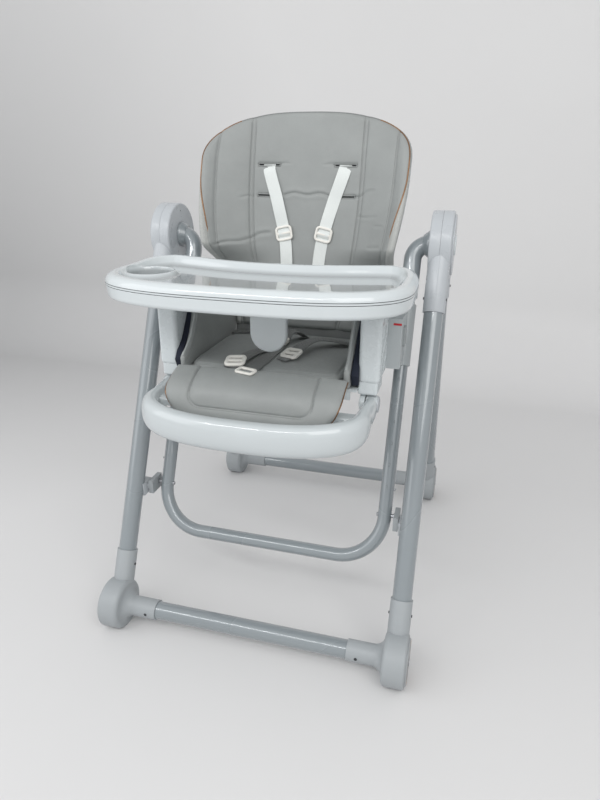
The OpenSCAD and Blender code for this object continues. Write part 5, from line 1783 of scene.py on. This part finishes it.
def build_stage():
    """Floor and wall in one sweep with a painted shadow on the paper to the left, lamps, sky and camera."""
    scene = bpy.context.scene
    size = scene.chair_stage
    rear = CHAIR_HIGH.y + 1.1
    bend, reach, wall_height = 0.35, 6.0, 5.0
    profile = [(-reach, 0.0), (rear - bend, 0.0)]
    profile += [(rear - bend + bend * math.sin(a), bend * (1 - math.cos(a)))
                for a in np.linspace(0, math.pi / 2, 24)]
    profile += [(rear, wall_height)]
    rows = np.array(profile)
    xs = np.linspace(-reach, reach, 7)
    points = np.array([[(x, y, z) for x in xs] for y, z in rows])
    mesh = bpy.data.meshes.new("studio_sweep")
    mesh.from_pydata(points.reshape(-1, 3).tolist(), [], grid_faces(len(rows), len(xs)))
    mesh.polygons.foreach_set("use_smooth", [True] * len(mesh.polygons))
    sweep_piece = bpy.data.objects.new("studio_sweep", mesh)
    scene.collection.objects.link(sweep_piece)
    paper = Finish("studio_paper", tuple(size.floor), 0.62)
    height = paper.node("ShaderNodeSeparateXYZ")
    paper.links.new(paper.place, height.inputs["Vector"])
    climb = paper.remap(height.outputs["Z"], 0.0, 0.5, 0.0, 1.0)
    paper.tint(climb, tuple(size.wall))
    # Painted shadow: the paper darkens round a point to the left, near the foot of the wall.
    spot = paper.node("ShaderNodeVectorMath", operation="DISTANCE")
    paper.links.new(paper.place, spot.inputs[0])
    spot.inputs[1].default_value = (-2.3, rear - 0.1, 0.25)
    paper.tint(paper.remap(spot.outputs["Value"], 0.3, 2.1, 0.42, 0.0), (0.20, 0.205, 0.21))
    paper.gloss(paper.noise(3.0, 3.0), 0.55, 0.68)
    mesh.materials.append(paper.material)
    middle = (0.0, HUB_Y - 0.1, 0.55)
    lamp("key", (1.6, 1.6), size.key_power, (1.3, -1.9, 2.1), middle, (1.0, 0.99, 0.975))
    lamp("fill", (2.0, 2.0), size.fill_power, (-2.0, -1.6, 1.6), middle, (0.98, 0.985, 1.0))
    lamp("strip", (2.0, 0.14), size.strip_power, (-0.50, -2.15, 2.25), middle, (1.0, 1.0, 1.0))
    world = bpy.data.worlds.new("studio_sky")
    world.use_nodes = True
    background = world.node_tree.nodes["Background"]
    background.inputs["Color"].default_value = (0.975, 0.98, 0.99, 1.0)
    tree = world.node_tree
    seen = tree.nodes.new("ShaderNodeLightPath")
    level = tree.nodes.new("ShaderNodeMapRange")
    level.inputs["To Min"].default_value = size.sky
    level.inputs["To Max"].default_value = size.horizon
    tree.links.new(seen.outputs["Is Camera Ray"], level.inputs["Value"])
    tree.links.new(level.outputs["Result"], background.inputs["Strength"])
    scene.world = world
    scene.view_settings.view_transform = "Standard"
    data = bpy.data.cameras.new("studio_camera")
    data.lens = 27.54
    data.sensor_width = 36.0
    data.clip_start = 0.02
    camera = bpy.data.objects.new("studio_camera", data)
    scene.collection.objects.link(camera)
    camera.matrix_world = camera_matrix()
    scene.camera = camera


# ---- operators and panel ----

FINISHES = {}


def build(*makers):
    """Runs the functions that make pieces, with finishes that are made once; a failure stops the operator."""
    if not FINISHES:
        FINISHES.update(make_finishes())
    for maker in makers:
        maker(FINISHES)
    return {"FINISHED"}


def dress_frame(finishes):
    """Gives every carried-over node of the frame its finish."""
    for name, finish in NODE_FINISH.items():
        dress_node(name, finishes[finish])


class CHAIR_OT_frame(Operator):
    """Finishes and softened edges of the frame's own pieces, and the height numbers"""

    bl_idname = "chair.frame"
    bl_label = "Frame finishes"
    bl_options = {"REGISTER", "UNDO"}

    def execute(self, context):
        return build(dress_frame, build_numbers)


class CHAIR_OT_shell(Operator):
    """Side panels with armrests and the U-shaped footrest"""

    bl_idname = "chair.shell"
    bl_label = "Side panels and footrest"
    bl_options = {"REGISTER", "UNDO"}

    def execute(self, context):
        return build(build_side_panels, build_footrest)


class CHAIR_OT_tray(Operator):
    """Top tray, its base and the guard between the legs"""

    bl_idname = "chair.tray"
    bl_label = "Tray"
    bl_options = {"REGISTER", "UNDO"}

    def execute(self, context):
        return build(build_top_tray, build_tray_base, build_guard)


class CHAIR_OT_seat(Operator):
    """Seat cushion, padded side walls, liner and calf pad"""

    bl_idname = "chair.seat"
    bl_label = "Seat pads"
    bl_options = {"REGISTER", "UNDO"}

    def execute(self, context):
        return build(build_seat_cushion, build_bolsters, build_seat_fold, build_calf_pad)


class CHAIR_OT_back(Operator):
    """Back cushion, its piping, seams and belt slots"""

    bl_idname = "chair.back"
    bl_label = "Back pad"
    bl_options = {"REGISTER", "UNDO"}

    def execute(self, context):
        return build(build_back_pad, build_back_trim)


class CHAIR_OT_harness(Operator):
    """Shoulder, waist and crotch straps with their adjusters"""

    bl_idname = "chair.harness"
    bl_label = "Harness"
    bl_options = {"REGISTER", "UNDO"}

    def execute(self, context):
        return build(build_shoulder_straps, build_lap_harness)


class CHAIR_OT_stage(Operator):
    """Floor, wall, lamps and camera"""

    bl_idname = "chair.stage"
    bl_label = "Stage"
    bl_options = {"REGISTER", "UNDO"}

    def execute(self, context):
        build_stage()
        return {"FINISHED"}


STEPS = (CHAIR_OT_frame, CHAIR_OT_shell, CHAIR_OT_tray, CHAIR_OT_seat, CHAIR_OT_back, CHAIR_OT_harness,
         CHAIR_OT_stage)
GROUPS = {"chair_pads": ChairPadSizes, "chair_tray": ChairTraySizes, "chair_colours": ChairColours,
          "chair_stage": ChairStageSizes}


class CHAIR_PT_panel(Panel):
    """Sizes, colours and steps of the high chair"""

    bl_idname = "CHAIR_PT_panel"
    bl_label = "High chair"
    bl_space_type = "VIEW_3D"
    bl_region_type = "UI"
    bl_category = "High chair"

    def draw(self, context):
        for attribute, group in GROUPS.items():
            box = self.layout.box()
            box.label(text=group.__name__)
            values = getattr(context.scene, attribute)
            for name in group.__annotations__:
                box.prop(values, name)
        for step in STEPS:
            self.layout.operator(step.bl_idname)


def register():
    """Registers the sizes, the steps and the panel."""
    for cls in (*GROUPS.values(), *STEPS, CHAIR_PT_panel):
        bpy.utils.register_class(cls)
    for attribute, group in GROUPS.items():
        setattr(bpy.types.Scene, attribute, PointerProperty(type=group))


def unregister():
    """Takes away what register() added."""
    for attribute in GROUPS:
        delattr(bpy.types.Scene, attribute)
    for cls in reversed((*GROUPS.values(), *STEPS, CHAIR_PT_panel)):
        bpy.utils.unregister_class(cls)


def corners(pair):
    """Two corners as plain lists."""
    return [list(corner) for corner in pair]


def main():
    """Builds the whole chair and its studio."""
    register()
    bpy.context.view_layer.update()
    bpy.ops.chair.frame()
    bpy.ops.chair.shell()
    bpy.ops.chair.tray()
    bpy.ops.chair.seat()
    bpy.ops.chair.back()
    bpy.ops.chair.harness()
    bpy.ops.chair.stage()


if __name__ == "__main__":
    main()
